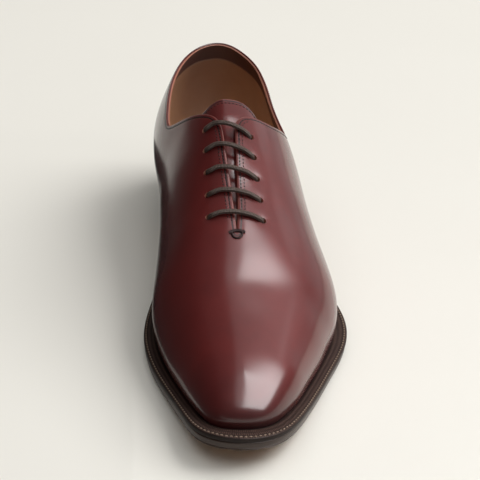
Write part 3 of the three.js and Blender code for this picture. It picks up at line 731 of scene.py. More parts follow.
# %% Eyelets, five pairs
EYELET_ROWS = 5
EYELET_FIRST = 138.0
EYELET_PITCH = 12.15
EYELET_SPREAD = 11.9
EYELET_FLARE = 0.45
EYELET_SKEW = 8.3
EYELET_TWIST = 1.2
EYELET_RADIUS = 1.8


def eyelet_station(row, across):
    skew = EYELET_SKEW - EYELET_TWIST * row
    return station_along(EYELET_FIRST + row * EYELET_PITCH + across * skew / 2)


def eyelet_spread(row):
    return EYELET_SPREAD + EYELET_FLARE * row


eyelets = {}
for row in range(EYELET_ROWS):
    for side in SIDES:
        t = eyelet_station(row, side)
        angle = angle_across(t, eyelet_spread(row), side)
        eyelets[row, side] = (form(t, angle, side), form_normal(t, angle, side))
eyelet_centres = np.array([centre for centre, _ in eyelets.values()])
print("eyelets:", len(eyelets))


# %% [markdown]
# ## Relief of the leather
# Pulled leather is never quite even. It sinks where it is laced and stitched, one soft trough
# lies across the vamp and one low ridge across the toe. Each is given in millimetres
# along and across the shoe, and moves the leather along the form's normal.

# %% Troughs and ridges, in millimetres
FOLDS = [
    # along, across, lean, length, width, depth: a soft line across the vamp
    (222.0, 6.0, 0.05, 42.0, 9.0, -0.36),
    (267.0, 0.0, 0.0, 36.0, 7.5, 0.22),
]
WAVES = [
    # wavelength along, wavelength across, phase, height: what the hand feels more than sees
    (61.0, 43.0, 0.4, 0.10),
    (37.0, 71.0, 2.1, 0.07),
    (23.0, 29.0, 4.0, 0.03),
]
# distance of a dip's middle from an eyelet or from the cut edge, its half width, its depth
EYELET_DIP = (0.0, 2.9, 0.3)
EDGE_DIPS = [(PULLED_IN, 0.9, 0.1), (0.0, 0.7, 0.16)]


def hollow(distance, middle, half, depth):
    return depth * np.exp(-(((distance - middle) / half) ** 2))


def relief(points, edge_mm):
    x, s = points[..., 0], points[..., 1]
    height = np.zeros(x.shape)
    for along, across, lean, reach, width, depth in FOLDS:
        off = s - along - lean * (x - across)
        height += depth * np.exp(-((off / width) ** 2) - ((x - across) / reach) ** 4)
    for along, across, phase, size in WAVES:
        height += size * np.sin(2 * np.pi * s / along + phase) * np.sin(2 * np.pi * x / across + phase)
    near = np.linalg.norm(points[..., None, :] - eyelet_centres, axis=-1).min(-1)
    height -= hollow(near, *EYELET_DIP)
    for sizes in EDGE_DIPS:
        height -= hollow(edge_mm, *sizes)
    return height


BLOCK = 4000


def distance_to(points, line):
    """Distance of each point to the nearest of a line's points, a block at a time."""
    flat = points.reshape(-1, 3)
    found = np.empty(len(flat))
    for start in range(0, len(flat), BLOCK):
        block = flat[start:start + BLOCK]
        gaps = ((block[:, None, :] - line[None]) ** 2).sum(-1)
        found[start:start + BLOCK] = np.sqrt(gaps.min(1))
    return found.reshape(points.shape[:-1])


print("folds:", len(FOLDS), "waves:", len(WAVES), "dips:", 1 + len(EDGE_DIPS))


# %% [markdown]
# ## The upper
# One hollow shell: a net outside, a net 2.2 mm further in for the lining, a rim along the cut
# edge, and the margin that is turned in under the foot. The rim shows the two layers that are
# sewn together there, the calf a little higher than its lining.

# %% The upper's nets
OUTER_COLUMNS = 66
INNER_COLUMNS = 40
LASTING_MARGIN = 9.0
RIM = [
    # share of the wall's thickness, height past the edge in mm
    (0.06, 0.22), (0.2, 0.36), (0.36, 0.34), (0.5, 0.1), (0.54, -0.2), (0.6, -0.12),
    (0.72, 0.0), (0.86, -0.08), (0.96, -0.26),
]
RIM_OF_CALF = 5
RIM_EASE = 6
CROWD_TO_EDGE = 0.12
MARGIN_THICKNESS = WALL - 0.5

mouth_line = {}
for side in SIDES:
    _, station, top, closed = wall_rows(side)
    mouth_line[side] = form(station[closed:], top[closed:], side)
whole_mouth = np.concatenate([mouth_line[side] for side in SIDES])

outer_w = np.linspace(0, 1, OUTER_COLUMNS)
outer_u = outer_w + CROWD_TO_EDGE * np.sin(np.pi * outer_w)
inner_u = np.linspace(0.05, 1, INNER_COLUMNS)
outer_skin, outer_out, outer_edge = {}, {}, {}
for side in SIDES:
    t, angle = wall_net(side, outer_u)
    points, out = form(t, angle, side), form_normal(t, angle, side)
    edge_mm = distance_to(points, whole_mouth)
    outer_skin[side] = points + out * relief(points, edge_mm)[..., None]
    outer_out[side], outer_edge[side] = out, edge_mm
print("net outside, a side:", outer_edge[LATERAL].shape, "points along the cut edge:", len(whole_mouth))


# %% The upper, wall, margin and rim
def ground(foot, side, offset, rise):
    x, s = outline(foot, side, offset)
    return np.stack([x, s, seat(s) + rise], -1)


def cut_upper():
    cut = Cut("upper_leather")
    for side in SIDES:
        foot, _, _, closed = wall_rows(side)
        outer = outer_skin[side].copy()
        outer[:, 0] = ground(foot, side, 0.0, 0.0)
        t, angle = wall_net(side, inner_u)
        inner = inside_form(t, angle, side, np.full(t.shape, WALL))
        start = ground(foot, side, -WALL, WALL)
        inner = np.concatenate([start[:, None], inner], 1)
        tuck = [outer[:, 0], ground(foot, side, -LASTING_MARGIN, 0.0),
                ground(foot, side, -LASTING_MARGIN, MARGIN_THICKNESS), inner[:, 0]]
        lip_out, lip_in = outer[closed:, -1], inner[closed:, -1]
        past = unit(lip_out - outer[closed:, -2])
        open_up = np.clip(np.arange(len(lip_out)) / RIM_EASE, 0, 1)[:, None]
        lip = [lip_out + (lip_in - lip_out) * share + past * rise * open_up for share, rise in RIM]
        lip = np.stack([lip_out, *lip, lip_in], 1)
        cut.net(outer, 0)
        cut.net(inner, 1)
        cut.net(np.stack(tuck, 1), 1)
        cut.net(lip[:, :RIM_OF_CALF + 1], 0)
        cut.net(lip[:, RIM_OF_CALF:], 2)
    return cut.sew(calf, lining, cut_edge)


# %% Punching the eyelets
PUNCH_SIDES = 28
PUNCH_REACH = 5.0


def punch(piece):
    """Takes a round punch through the wall at each eyelet, with a boolean."""
    punches = Cut("punches")
    for centre, out in eyelets.values():
        u = unit(np.cross(out, [0, 1, 0]))
        v = np.cross(out, u)
        turns = np.linspace(0, 2 * np.pi, PUNCH_SIDES, endpoint=False)
        ring = centre + EYELET_RADIUS * (np.cos(turns)[:, None] * u + np.sin(turns)[:, None] * v)
        ends = [shift * out * PUNCH_REACH for shift in (-1, 1)]
        punches.net(np.stack([ring + end for end in ends]), 2, ring=True)
        for end in ends:
            punches.fan(ring + end, centre + end, 2)
    tool = punches.sew(calf, lining, cut_edge)
    boolean = piece.modifiers.new("punch", "BOOLEAN")
    boolean.operation, boolean.object, boolean.solver = "DIFFERENCE", tool, "EXACT"
    return plain(piece, tool)


def plain(piece, *helpers):
    """The evaluated mesh as a plain one, with the modifiers and the helpers gone."""
    seen = piece.evaluated_get(bpy.context.evaluated_depsgraph_get())
    mesh = bpy.data.meshes.new_from_object(seen)
    name = piece.name
    for old in (piece, *helpers):
        bpy.data.objects.remove(old)
    mesh.name = name
    return put(name, mesh)


# %% What the polish needs to know at each point
def own_measures(mesh):
    """The vertices of a finished mesh in the shoe's own millimetres."""
    co = np.empty(len(mesh.vertices) * 3)
    mesh.vertices.foreach_get("co", co)
    co = co.reshape(-1, 3) / MM
    return np.stack([co[:, 0] + MIDDLE_X, MIDDLE_S - co[:, 1], co[:, 2]], -1)


def note(mesh, name, values):
    layer = mesh.attributes.new(name, "FLOAT", "POINT")
    layer.data.foreach_set("value", np.asarray(values, np.float32))


def step_up(value, start, end):
    t = np.clip((value - start) / (end - start), 0, 1)
    return t * t * (3 - 2 * t)


ANTIQUE_AND_SHADE = {
    # where the darkening starts and where it is full, in millimetres, and how strong it is
    "towards the toe": (262, 286, 0.45),
    # painted shade on the inner side
    "towards the inner side": (12, 48, 0.6),
    "down to the sole": (16, 3, 0.35),
    "towards the heel": (40, 6, 0.5),
}


def antique_and_shade(points):
    """How far the leather is darkened: the polish is burnished in by hand at toe and heel, the inner side
    gets painted shade, and it grows darker down to the sole.
    """
    x, s, z = points[:, 0], points[:, 1], points[:, 2]
    dark = np.zeros(len(points))
    for measure, (start, full, strength) in zip((s, -x, z - seat(s), s), ANTIQUE_AND_SHADE.values()):
        dark += step_up(measure, start, full) * strength
    return np.clip(dark, 0, 1)


upper = punch(cut_upper())
upper.data.set_sharp_from_angle(angle=SHARP)
measures = own_measures(upper.data)
note(upper.data, "edge_mm", distance_to(measures, whole_mouth))
note(upper.data, "antique_and_shade", antique_and_shade(measures))
print("upper:", len(upper.data.polygons), "faces, materials:", [m.name for m in upper.data.materials])
hand_over(upper, "upper_leather", "upper")

# %% [markdown]
# ## Stitches
# A row of stitches follows a line on the leather at an even pitch, which is what Geometry Nodes
# are good at: the line becomes a curve, is cut into equal lengths, and one small stitch is put at
# each point, laid along the curve and turned to the leather. The line carries the leather's
# outward direction as an attribute.

# %% The stitcher, a node tree
STITCH_SIZES = ("Pitch", "Length", "Width", "Height")
SEGMENTS = 6
RINGS = 5


def make_stitcher():
    tree = bpy.data.node_groups.new("stitcher", "GeometryNodeTree")
    face = tree.interface
    face.new_socket("Geometry", in_out="INPUT", socket_type="NodeSocketGeometry")
    for name in STITCH_SIZES:
        face.new_socket(name, in_out="INPUT", socket_type="NodeSocketFloat")
    face.new_socket("Thread", in_out="INPUT", socket_type="NodeSocketMaterial")
    face.new_socket("Geometry", in_out="OUTPUT", socket_type="NodeSocketGeometry")

    def add(kind, settings=None, **links):
        node = tree.nodes.new(kind)
        for key, value in (settings or {}).items():
            setattr(node, key, value)
        for key, value in links.items():
            socket = node.inputs[key.replace("_", " ")]
            if isinstance(value, bpy.types.NodeSocket):
                tree.links.new(value, socket)
            else:
                socket.default_value = value
        return node

    given = tree.nodes.new("NodeGroupInput").outputs
    curve = add("GeometryNodeMeshToCurve", Mesh=given["Geometry"])
    spaced = add("GeometryNodeResampleCurve", {"mode": "LENGTH"}, Curve=curve.outputs[0],
                 Length=given["Pitch"])
    tangent = add("GeometryNodeInputTangent")
    outward = add("GeometryNodeInputNamedAttribute", {"data_type": "FLOAT_VECTOR"}, Name="out")
    lay = add("FunctionNodeAlignRotationToVector", {"axis": "X"}, Vector=tangent.outputs[0])
    stand = add("FunctionNodeAlignRotationToVector", {"axis": "Z", "pivot_axis": "X"},
                Rotation=lay.outputs[0], Vector=outward.outputs[0])
    stitch = add("GeometryNodeMeshUVSphere", Segments=SEGMENTS, Rings=RINGS, Radius=0.5)
    size = add("ShaderNodeCombineXYZ", X=given["Length"], Y=given["Width"], Z=given["Height"])
    row = add("GeometryNodeInstanceOnPoints", Points=spaced.outputs[0], Instance=stitch.outputs[0],
              Rotation=stand.outputs[0], Scale=size.outputs[0])
    real = add("GeometryNodeRealizeInstances", Geometry=row.outputs[0])
    smooth = add("GeometryNodeSetShadeSmooth", Geometry=real.outputs[0])
    dressed = add("GeometryNodeSetMaterial", Geometry=smooth.outputs[0], Material=given["Thread"])
    end = tree.nodes.new("NodeGroupOutput")
    tree.links.new(dressed.outputs[0], end.inputs[0])
    return tree


stitcher = make_stitcher()
print("stitcher's nodes:", len(stitcher.nodes))


# %% Sewing along a line
def stitch(name, lines, sizes, thread):
    """Sews stitches along lines, each a pair of points and outward directions."""
    mesh = bpy.data.meshes.new(name)
    points = np.concatenate([p for p, _ in lines])
    outs = np.concatenate([o for _, o in lines])
    starts = np.cumsum([0] + [len(p) for p, _ in lines])
    edges = [(i, i + 1) for a, b in zip(starts, starts[1:]) for i in range(a, b - 1)]
    mesh.from_pydata(to_frame(points).tolist(), edges, [])
    layer = mesh.attributes.new("out", "FLOAT_VECTOR", "POINT")
    layer.data.foreach_set("vector", turn(outs).astype(np.float32).ravel())
    piece = put(name, mesh)
    sewn = piece.modifiers.new("stitches", "NODES")
    sewn.node_group = stitcher
    values = {size: value * MM for size, value in zip(STITCH_SIZES, sizes)}
    values["Thread"] = thread
    for item in stitcher.interface.items_tree:
        if item.in_out == "INPUT" and item.name in values:
            sewn[item.identifier] = values[item.name]
    made = plain(piece)
    print(name, "stitches:", len(made.data.vertices) // (SEGMENTS * (RINGS - 1) + 2))
    return made


# %% Lines at a distance from the cut edge
def line_beside(side, away, first, last=None):
    """Walks down rows first to last of the mouth until it is that far from the cut edge."""
    closed = wall_rows(side)[3]
    points, outs = [], []
    for i in range(closed + first, len(outer_edge[side]) if last is None else closed + last):
        edge = outer_edge[side][i][::-1]
        j = int(np.argmax(edge >= away))
        if j == 0:
            continue
        f = (away - edge[j - 1]) / (edge[j] - edge[j - 1])
        p, o = outer_skin[side][i][::-1], outer_out[side][i][::-1]
        points.append(p[j - 1] * (1 - f) + p[j] * f)
        outs.append(unit(o[j - 1] * (1 - f) + o[j] * f))
    return np.array(points), np.array(outs)


def sunk(line, depth):
    points, outs = line
    return points - outs * depth, outs


SECOND_ROW = 3.5
SUNK = 0.05
FIRST_START = 7
SECOND_START = 9
SLIT_TOP = 58
UPPER_STITCH = (2.0, 1.5, 0.75, 0.5)
first_rows = [sunk(line_beside(side, FIRST_ROW, FIRST_START), SUNK) for side in SIDES]
second_rows = [sunk(line_beside(side, SECOND_ROW, SECOND_START, SLIT_TOP), SUNK) for side in SIDES]
topline_stitches = stitch("topline_stitches", first_rows, UPPER_STITCH, upper_thread)
slit_stitches = stitch("slit_stitches", second_rows, UPPER_STITCH, upper_thread)
hand_over(topline_stitches, "upper_leather")
hand_over(slit_stitches, "upper_leather")

# %% [markdown]
# ## Cords and tubes
# The lace and the thick thread at the foot of the slit are round sections carried along a line.
# The section is laid in the line's own frame: one way follows the leather's outward direction, so
# a flattened stretch lies flat under the facing.

# %% A section carried along a line
def run_along(points):
    """The distance of each point from the first, along the line."""
    return np.concatenate([[0], np.cumsum(np.linalg.norm(np.diff(points, axis=0), axis=1))])


def smooth_line(points, spacing):
    """A smooth line through the points, with even steps."""
    points = np.asarray(points, float)
    p = np.array([2 * points[0] - points[1], *points, 2 * points[-1] - points[-2]])
    fine = []
    f = np.linspace(0, 1, 16, endpoint=False)[:, None]
    for i in range(1, len(p) - 2):
        a, b, c, d = p[i - 1], p[i], p[i + 1], p[i + 2]
        fine.append(0.5 * (2 * b + (c - a) * f + (2 * a - 5 * b + 4 * c - d) * f**2
                           + (3 * b - a - 3 * c + d) * f**3))
    fine = np.concatenate([*fine, points[-1:]])
    run = run_along(fine)
    count = max(int(run[-1] / spacing) + 1, 8)
    where = np.linspace(0, run[-1], count)
    return np.stack([np.interp(where, run, fine[:, k]) for k in range(3)], -1), where


CAP = 0.2


def tube(cut, points, where, outs, width, height, sides=14):
    """width and height are the section's, at each point, in millimetres."""
    along = unit(np.gradient(points, axis=0))
    across = unit(np.cross(along, outs))
    up = np.cross(across, along)
    turns = np.linspace(0, 2 * np.pi, sides, endpoint=False)
    width, height = np.broadcast_to(width, len(points)), np.broadcast_to(height, len(points))
    net = (points[:, None] + across[:, None] * (np.cos(turns)[None, :, None] * width[:, None, None] / 2)
           + up[:, None] * (np.sin(turns)[None, :, None] * height[:, None, None] / 2))
    cut.net(net, ring=True, uv=(where, np.linspace(0, 1, sides + 1)))
    for end, sense in ((0, -1), (-1, 1)):
        cut.fan(net[end], points[end] + sense * along[end] * width[end] * CAP)


# %% [markdown]
# ## The lace
# One round waxed lace makes five straight bars. It goes over from one eyelet to its partner,
# down, under the facing to the next row, and back over. Its two ends stop under the top eyelets.
# Under the facings it is pressed flat between the leather and the tongue.

# %% The lace's way
LACE = 2.5
LACE_LIFT = 0.25
LACE_FLAT = 1.3
LACE_SPREAD = 0.7
LACE_BESIDE = 4.2
LACE_END = (0.35, 0.8)
LACE_STEP = 0.8
UNDER = WALL + 0.1 + LACE_FLAT / 2
OVER = LACE / 2 + LACE_LIFT
BAR_BOW = 0.6
BAR_SHARES = [0.56, 0.28, 0.0, -0.28, -0.56]
EXIT = [
    # height over the leather, and how far inwards the lace has leant by then
    (-2.4, 0.0), (-0.7, 0.55), (0.2, 1.2), (0.8, 2.0), (1.2, 3.1),
]


def over_bar(row, start):
    """Points over the facings from one eyelet to its partner, with outward directions.

    The last number of each is 1 where the lace is round, and 0 where it is pressed flat.
    """
    ends = {side: eyelets[row, side] for side in SIDES}
    inward = unit(ends[-start][0] - ends[start][0])

    def leave(side, sense):
        centre, out = ends[side]
        along = inward * sense
        along = unit(along - out * (along @ out))
        return [(centre + out * rise + along * lean, out, 1.0) for rise, lean in EXIT]

    way = leave(start, 1)
    for share in BAR_SHARES:
        across = share * start
        side = LATERAL if across > 0 else MEDIAL
        t = eyelet_station(row, across)
        angle = angle_across(t, eyelet_spread(row) * abs(across), side)
        out = form_normal(t, angle, side)
        bow = BAR_BOW * (1 - share * share) ** 2
        way.append((form(t, angle, side) + out * (OVER + bow), out, 1.0))
    way += leave(-start, -1)[::-1]
    return way


def under_run(row_from, row_to, side, beside=0.0):
    """Points under the facing from one row to another, moved out beside the eyelets."""
    way = []
    steps = np.linspace(row_from, row_to, abs(row_to - row_from) * 4 + 1)
    for k, row in enumerate(steps):
        t = eyelet_station(row, side)
        ease = min(1, 4 * k / (len(steps) - 1))
        angle = angle_across(t, eyelet_spread(row) + beside * ease, side)
        out = form_normal(t, angle, side)
        way.append((form(t, angle, side) - out * UNDER, out, 0.0))
    return way


# %% The lace, carried along its way
way = under_run(0, EYELET_ROWS - 1, MEDIAL, LACE_BESIDE)
side = MEDIAL
for row in range(EYELET_ROWS - 1, -1, -1):
    way += over_bar(row, side)
    side = -side
    if row > 0:
        way += under_run(row, row - 1, side)
centre, out = eyelets[0, side]
way.append((centre - out * UNDER, out, 0.0))
for share in LACE_END:
    t = eyelet_station(share, side)
    angle = angle_across(t, eyelet_spread(share), side)
    way.append((inside_form(t, angle, side, UNDER), form_normal(t, angle, side), 0.0))

lace_points, lace_where = smooth_line([p for p, _, _ in way], LACE_STEP)
knots = np.array([p for p, _, _ in way])
nearest = ((lace_points[:, None] - knots[None]) ** 2).sum(-1)
weight = 1 / (nearest + 0.5) ** 2
weight /= weight.sum(1, keepdims=True)
lace_out = unit(weight @ np.array([o for _, o, _ in way]))
roundness = weight @ np.array([r for _, _, r in way])
lace_cut = Cut("lace")
tube(lace_cut, lace_points, lace_where, lace_out, LACE + (1 - roundness) * LACE_SPREAD,
     LACE_FLAT + (LACE - LACE_FLAT) * roundness)
lace = lace_cut.sew(waxed_lace, merge=0.001)
print("lace length in the shoe:", round(lace_where[-1]), "mm")
hand_over(lace, "lace", *[f"lace_bar_{row + 1}" for row in range(EYELET_ROWS)])

# %% [markdown]
# ## The foot of the slit
# The two rows of stitches end in a bar of thick thread, with a half round loop under it, so that
# the slit can't tear. It is sewn by hand, and stands proud of the leather.

# %% The bar and its half round
BAR_HALF = 3.9
BAR_PLACES = (-1.25, -0.75)
BAR_CURVE = 0.05
BAR_LIFT = 0.34
LOOP_RADIUS = 2.6
LOOP_LENGTH = 3.0
LOOP_PLACE = 0.1
LOOP_LIFT = 0.3
THREAD_WIDTH = 1.15
THREAD_HEIGHT = 0.95
THREAD_STEP = 0.4


def on_leather(across, along, lift):
    """A point over the outer leather, from millimetres across and along."""
    side = LATERAL if across >= 0 else MEDIAL
    t = station_along(along)
    angle = angle_across(t, abs(across), side)
    out = form_normal(t, angle, side)
    return form(t, angle, side) + out * lift, out


slit_foot = form(MOUTH["station_lat"][0], math.pi / 2, LATERAL)
bartack = Cut("bartack")
strands = []
for place in BAR_PLACES:
    xs = np.linspace(-BAR_HALF, BAR_HALF, 9)
    strands.append([(x, slit_foot[1] + place + BAR_CURVE * x * x, BAR_LIFT) for x in xs])
arc = np.linspace(-0.15 * np.pi, 1.15 * np.pi, 13)
strands.append([(LOOP_RADIUS * math.cos(a), slit_foot[1] + LOOP_PLACE + LOOP_LENGTH * math.sin(a),
                 LOOP_LIFT) for a in arc])
for strand in strands:
    found = [on_leather(*p) for p in strand]
    points, where = smooth_line([p for p, _ in found], THREAD_STEP)
    outs = np.stack([np.interp(np.linspace(0, 1, len(points)), np.linspace(0, 1, len(found)),
                               [o[k] for _, o in found]) for k in range(3)], -1)
    tube(bartack, points, where, unit(outs), THREAD_WIDTH, THREAD_HEIGHT, sides=10)
bartack = bartack.sew(upper_thread, merge=0.001)
hand_over(bartack, "upper_leather")

# %% [markdown]
# ## The tongue
# A curved leaf of the same calf under the facings, with a round top and one row of stitches. It
# lies a little deeper than its solid under the facings, because the lace is pressed in there.

# %% The tongue's net
TONGUE = {
    "station": [11.0, 10.4, 9.6, 8.8, 7.9, 7.0, 6.15],
    "half_lat": [0.24, 0.32, 0.38, 0.41, 0.43, 0.44, 0.43],
    "half_med": [0.24, 0.33, 0.4, 0.46, 0.52, 0.57, 0.6],
}
TONGUE_WIDTH = 50.0
TONGUE_THICKNESS = 2.0
TONGUE_ROUND = 0.7
TONGUE_DIP = 1.3
TONGUE_DIP_FROM = 126
TONGUE_DIP_FULL = 136
TONGUE_WRINKLE = 0.35
TONGUE_SOFTENED = 0.35
TONGUE_ROWS = 90
TONGUE_COLUMNS = 61
TONGUE_ROW = 3.0
TONGUE_STITCH = (2.0, 1.5, 0.7, 0.5)
TONGUE_ANTIQUE = 0.12


def tongue_net(lift):
    """lift goes from 1 on the outer face to 0 underneath."""
    share = np.linspace(0, 1, TONGUE_ROWS)[:, None]
    w = np.linspace(-1, 1, TONGUE_COLUMNS)[None, :]
    step = share * (len(TONGUE["station"]) - 1)
    t = straight_on(TONGUE["station"], step) + TONGUE_ROUND * share**3 * np.abs(w) ** 5
    net = np.zeros((TONGUE_ROWS, TONGUE_COLUMNS, 3))
    out = np.zeros(net.shape)
    s_here = section("spine", t) * LENGTH
    dip = TONGUE_DIP * step_up(s_here, TONGUE_DIP_FROM, TONGUE_DIP_FULL)
    wrinkles = TONGUE_WRINKLE * np.sin(s_here / 5.1 + 2 * w) * step_up(np.abs(w), 0.9, 0.3)
    for side in SIDES:
        half = "half_lat" if side > 0 else "half_med"
        pick = (w[0] >= 0) if side > 0 else (w[0] < 0)
        distance = np.abs(w) * straight_on(TONGUE[half], step) * TONGUE_WIDTH
        tt, distance = t[:, pick], distance[:, pick]
        angle = np.where(distance == 0, math.pi / 2, angle_across(tt, distance, side))
        depth = WALL + CURVED_GAP + TONGUE_THICKNESS * (1 - lift)
        net[:, pick] = inside_form(tt, angle, side, depth + (dip + wrinkles * 0.4)[:, pick])
        out[:, pick] = form_normal(tt, angle, side)
    return net, out


def cut_tongue():
    """Both faces, drawn together a little at the rim, and the cut edge between them."""
    cut = Cut("tongue_leather")
    top, out = tongue_net(1.0)
    under, _ = tongue_net(0.0)
    i, j = np.arange(TONGUE_ROWS)[:, None], np.arange(TONGUE_COLUMNS)[None, :]
    edge = np.minimum(np.minimum(j, TONGUE_COLUMNS - 1 - j), np.minimum(i, TONGUE_ROWS - 1 - i))
    soften = TONGUE_SOFTENED * np.exp(-edge / 0.8)
    top = top - out * soften[..., None]
    under = under + out * soften[..., None]
    cut.net(top, 0)
    cut.net(under, 1)
    for a, b in ((top[0], under[0]), (top[-1], under[-1]), (top[:, 0], under[:, 0]),
                 (top[:, -1], under[:, -1])):
        cut.net(np.stack([a, (a + b) / 2, b], 1), 2)
    return cut.sew(calf, lining, cut_edge), top, out


tongue, tongue_top, tongue_out = cut_tongue()
tongue_measures = own_measures(tongue.data)
tongue_edge = np.concatenate([tongue_top[-1], tongue_top[:, 0], tongue_top[:, -1]])
note(tongue.data, "edge_mm", distance_to(tongue_measures, tongue_edge))
note(tongue.data, "antique_and_shade", np.full(len(tongue_measures), TONGUE_ANTIQUE))
hand_over(tongue, "tongue_leather", "tongue")


# %% Stitches inside the tongue's top edge
def tongue_line(away):
    """Along the tongue's top edge, a distance in from it."""
    points, outs = [], []
    run = np.linalg.norm(np.diff(tongue_top, axis=0), axis=-1)
    for j in range(5, tongue_top.shape[1] - 5):
        back = np.cumsum(run[::-1, j])
        i = tongue_top.shape[0] - 2 - int(np.searchsorted(back, away))
        points.append(tongue_top[i, j])
        outs.append(tongue_out[i, j])
    return np.array(points), np.array(outs)


tongue_stitches = stitch("tongue_stitches", [tongue_line(TONGUE_ROW)], TONGUE_STITCH, upper_thread)
hand_over(tongue_stitches, "tongue_leather")

# %% [markdown]
# ## The welt
# A strip of leather is sewn round the foot of the upper, and the sole is stitched to it. Its top
# shows the stitches in a wheeled band. The strip is a ring: its stations are spaced evenly along
# the rim, so that the wheel marks and the stitches keep their pitch all round.

# %% Even steps round the shoe
def round_the_shoe(count):
    """Stations and sides at even steps round the rim: toe, outer side, heel, inner side."""
    fine = np.linspace(TOE, 0, 2001)
    path = []
    for side in SIDES:
        t = fine if side > 0 else fine[::-1]
        x, s = outline(t, side, rim_offset(t, side))
        path.append(np.stack([x, s, t, np.full(len(t), side)], -1))
    path = np.concatenate([path[0], path[1][1:]])
    run = run_along(path[:, :2])
    where = np.linspace(0, run[-1], count)
    t = np.interp(where, run, path[:, 2])
    heel = run[len(fine) - 1]
    return t, np.where(where <= heel, LATERAL, MEDIAL), where


def ring_points(t, sides, offset, rise):
    """Points round the shoe at an offset from the last's edge and a rise above the sole."""
    made = np.zeros((len(t), 3))
    for side in SIDES:
        pick = sides == side
        x, s = outline(t[pick], side, offset(t[pick], side))
        made[pick] = np.stack([x, s, seat(s) + rise], -1)
    return made


def wall_at_rise(t, sides, rise, clearance):
    """Just outside the wall at a rise above the sole."""
    made = np.zeros((len(t), 3))
    for side in SIDES:
        pick = sides == side
        tt = t[pick]
        nx, ns = edge_normal(tt, side)
        base = seat(edge_point(tt, side)[1])
        lower, _ = halve(np.full(len(tt), 0.001), np.full(len(tt), 0.6),
                         lambda angle: form(tt, angle, side)[:, 2] < base + rise)
        p = form(tt, lower, side)
        made[pick] = np.stack([p[:, 0] + nx * clearance, p[:, 1] + ns * clearance, p[:, 2]], -1)
    return made


# %% The welt's strip and its seam
RING = 760
ring_t, ring_side, ring_run = round_the_shoe(RING + 1)
WELT_TOP = [
    # share of the reach, height above the sole
    (0.05, 2.3), (0.12, 2.45), (0.22, 2.58), (0.35, 2.6), (0.5, 2.6), (0.65, 2.58), (0.76, 2.5),
    (0.84, 2.46), (0.9, 2.5), (0.94, 2.46), (0.97, 2.3), (0.99, 2.0), (1.0, 1.6), (1.0, 1.0),
    (0.995, 0.5), (0.975, 0.0),
]
WELT_BACK = WELT_THICKNESS - 0.6
WALL_CLEARANCE = 0.15
SEAM_SHARE = 0.84
SEAM_HEIGHT = 2.47
WELT_STITCH = (2.2, 1.55, 0.8, 0.7)


def welt_place(share, rise):
    return ring_points(ring_t, ring_side,
                       lambda t, side: CURVED_GAP + (rim_offset(t, side) - CURVED_GAP) * share, rise)


def cut_welt():
    cut = Cut("welt_strip")
    rows = [ring_points(ring_t, ring_side, lambda t, side: CURVED_GAP + 0 * t, 0.0),
            wall_at_rise(ring_t, ring_side, WELT_BACK, WALL_CLEARANCE)]
    rows += [welt_place(share, rise) for share, rise in WELT_TOP]
    rows.append(rows[0])
    shares = [0, 0, *(share + (WELT_THICKNESS - rise) / WELT_REACH for share, rise in WELT_TOP), 1.3]
    cut.net(np.stack(rows, 1), uv=(ring_run, np.array(shares)))
    return cut.sew(welt_leather)


welt = cut_welt()
hand_over(welt, "welt_leather", "welt")
seam = welt_place(SEAM_SHARE, SEAM_HEIGHT)
up = np.tile([0.0, 0.0, 1.0], (len(seam), 1))
welt_stitches = stitch("welt_stitches", [(seam, up)], WELT_STITCH, welt_thread)
hand_over(welt_stitches, "welt_leather")
print("welt's rim, mm:", round(ring_run[-1]))

# %% [markdown]
# ## The sole
# The outsole follows the welt's rim. Its edge is trimmed, rounded below, inked and waxed, and its
# underside is bare leather. The section goes from the top edge down round the edge and across to
# the other side, and is carried from toe to heel.

# %% The outsole's section
SOLE_EDGE = [
    # inset from the welt's rim, share of the thickness
    (1.3, 1.0), (0.75, 0.985), (0.52, 0.93), (0.44, 0.8), (0.4, 0.65), (0.4, 0.5), (0.44, 0.36),
    (0.56, 0.27), (0.9, 0.235), (0.95, 0.215), (0.8, 0.19), (0.72, 0.15), (0.74, 0.1),
    (0.95, 0.04), (1.3, 0.01), (1.8, 0.0),
]
SOLE_ACROSS = 30
SOLE_STEPS = 380


def spread(a, b, count, height):
    """A net from one rim to the other, whose height follows the place along the shoe."""
    share = np.linspace(0, 1, count)[None, :, None]
    net = a[:, None] * (1 - share) + b[:, None] * share
    net[..., 2] = height(net[..., 1])
    return net


def cut_outsole():
    cut = Cut("outsole_leather")
    t, sides, _ = round_the_shoe(2 * SOLE_STEPS + 1)
    half = t[sides == LATERAL]
    half[-1] = 0.0
    rows = {}
    for side in SIDES:
        columns = []
        for inset, share in SOLE_EDGE:
            x, s = outline(half, side, rim_offset(half, side) - inset)
            columns.append(np.stack([x, s, tread(s) + SOLE_THICKNESS * share], -1))
        rows[side] = columns
        cut.net(np.stack(columns, 1), 0)
    for level, height in ((0, sole_top), (-1, tread)):
        cut.net(spread(rows[LATERAL][level], rows[MEDIAL][level], SOLE_ACROSS, height), 1)
    return cut.sew(sole_edge, tread_leather, merge=0.01)


outsole = cut_outsole()
hand_over(outsole, "sole_leather", "outsole")

# %% [markdown]
# ## The heel
# Lifts of leather are stacked on a rubber top piece and trimmed together, a little narrower
# towards the floor. Each lift is its own piece, with a fine rounded edge that shows the joint.

# %% Heel outline and lifts
TOP_PIECE = 6.5
LIFT = 6.0
HEEL_STEPS = 90
HEEL_FROM = 6
BREAST_STEPS = 22
LIFT_EDGE = [
    # share of the lift's height, inset from the heel's outline
    (0.0, 0.5), (0.012, 0.22), (0.05, 0.06), (0.12, 0.0), (0.5, -0.06), (0.88, 0.0), (0.95, 0.06),
    (0.985, 0.2), (1.0, 0.5),
]


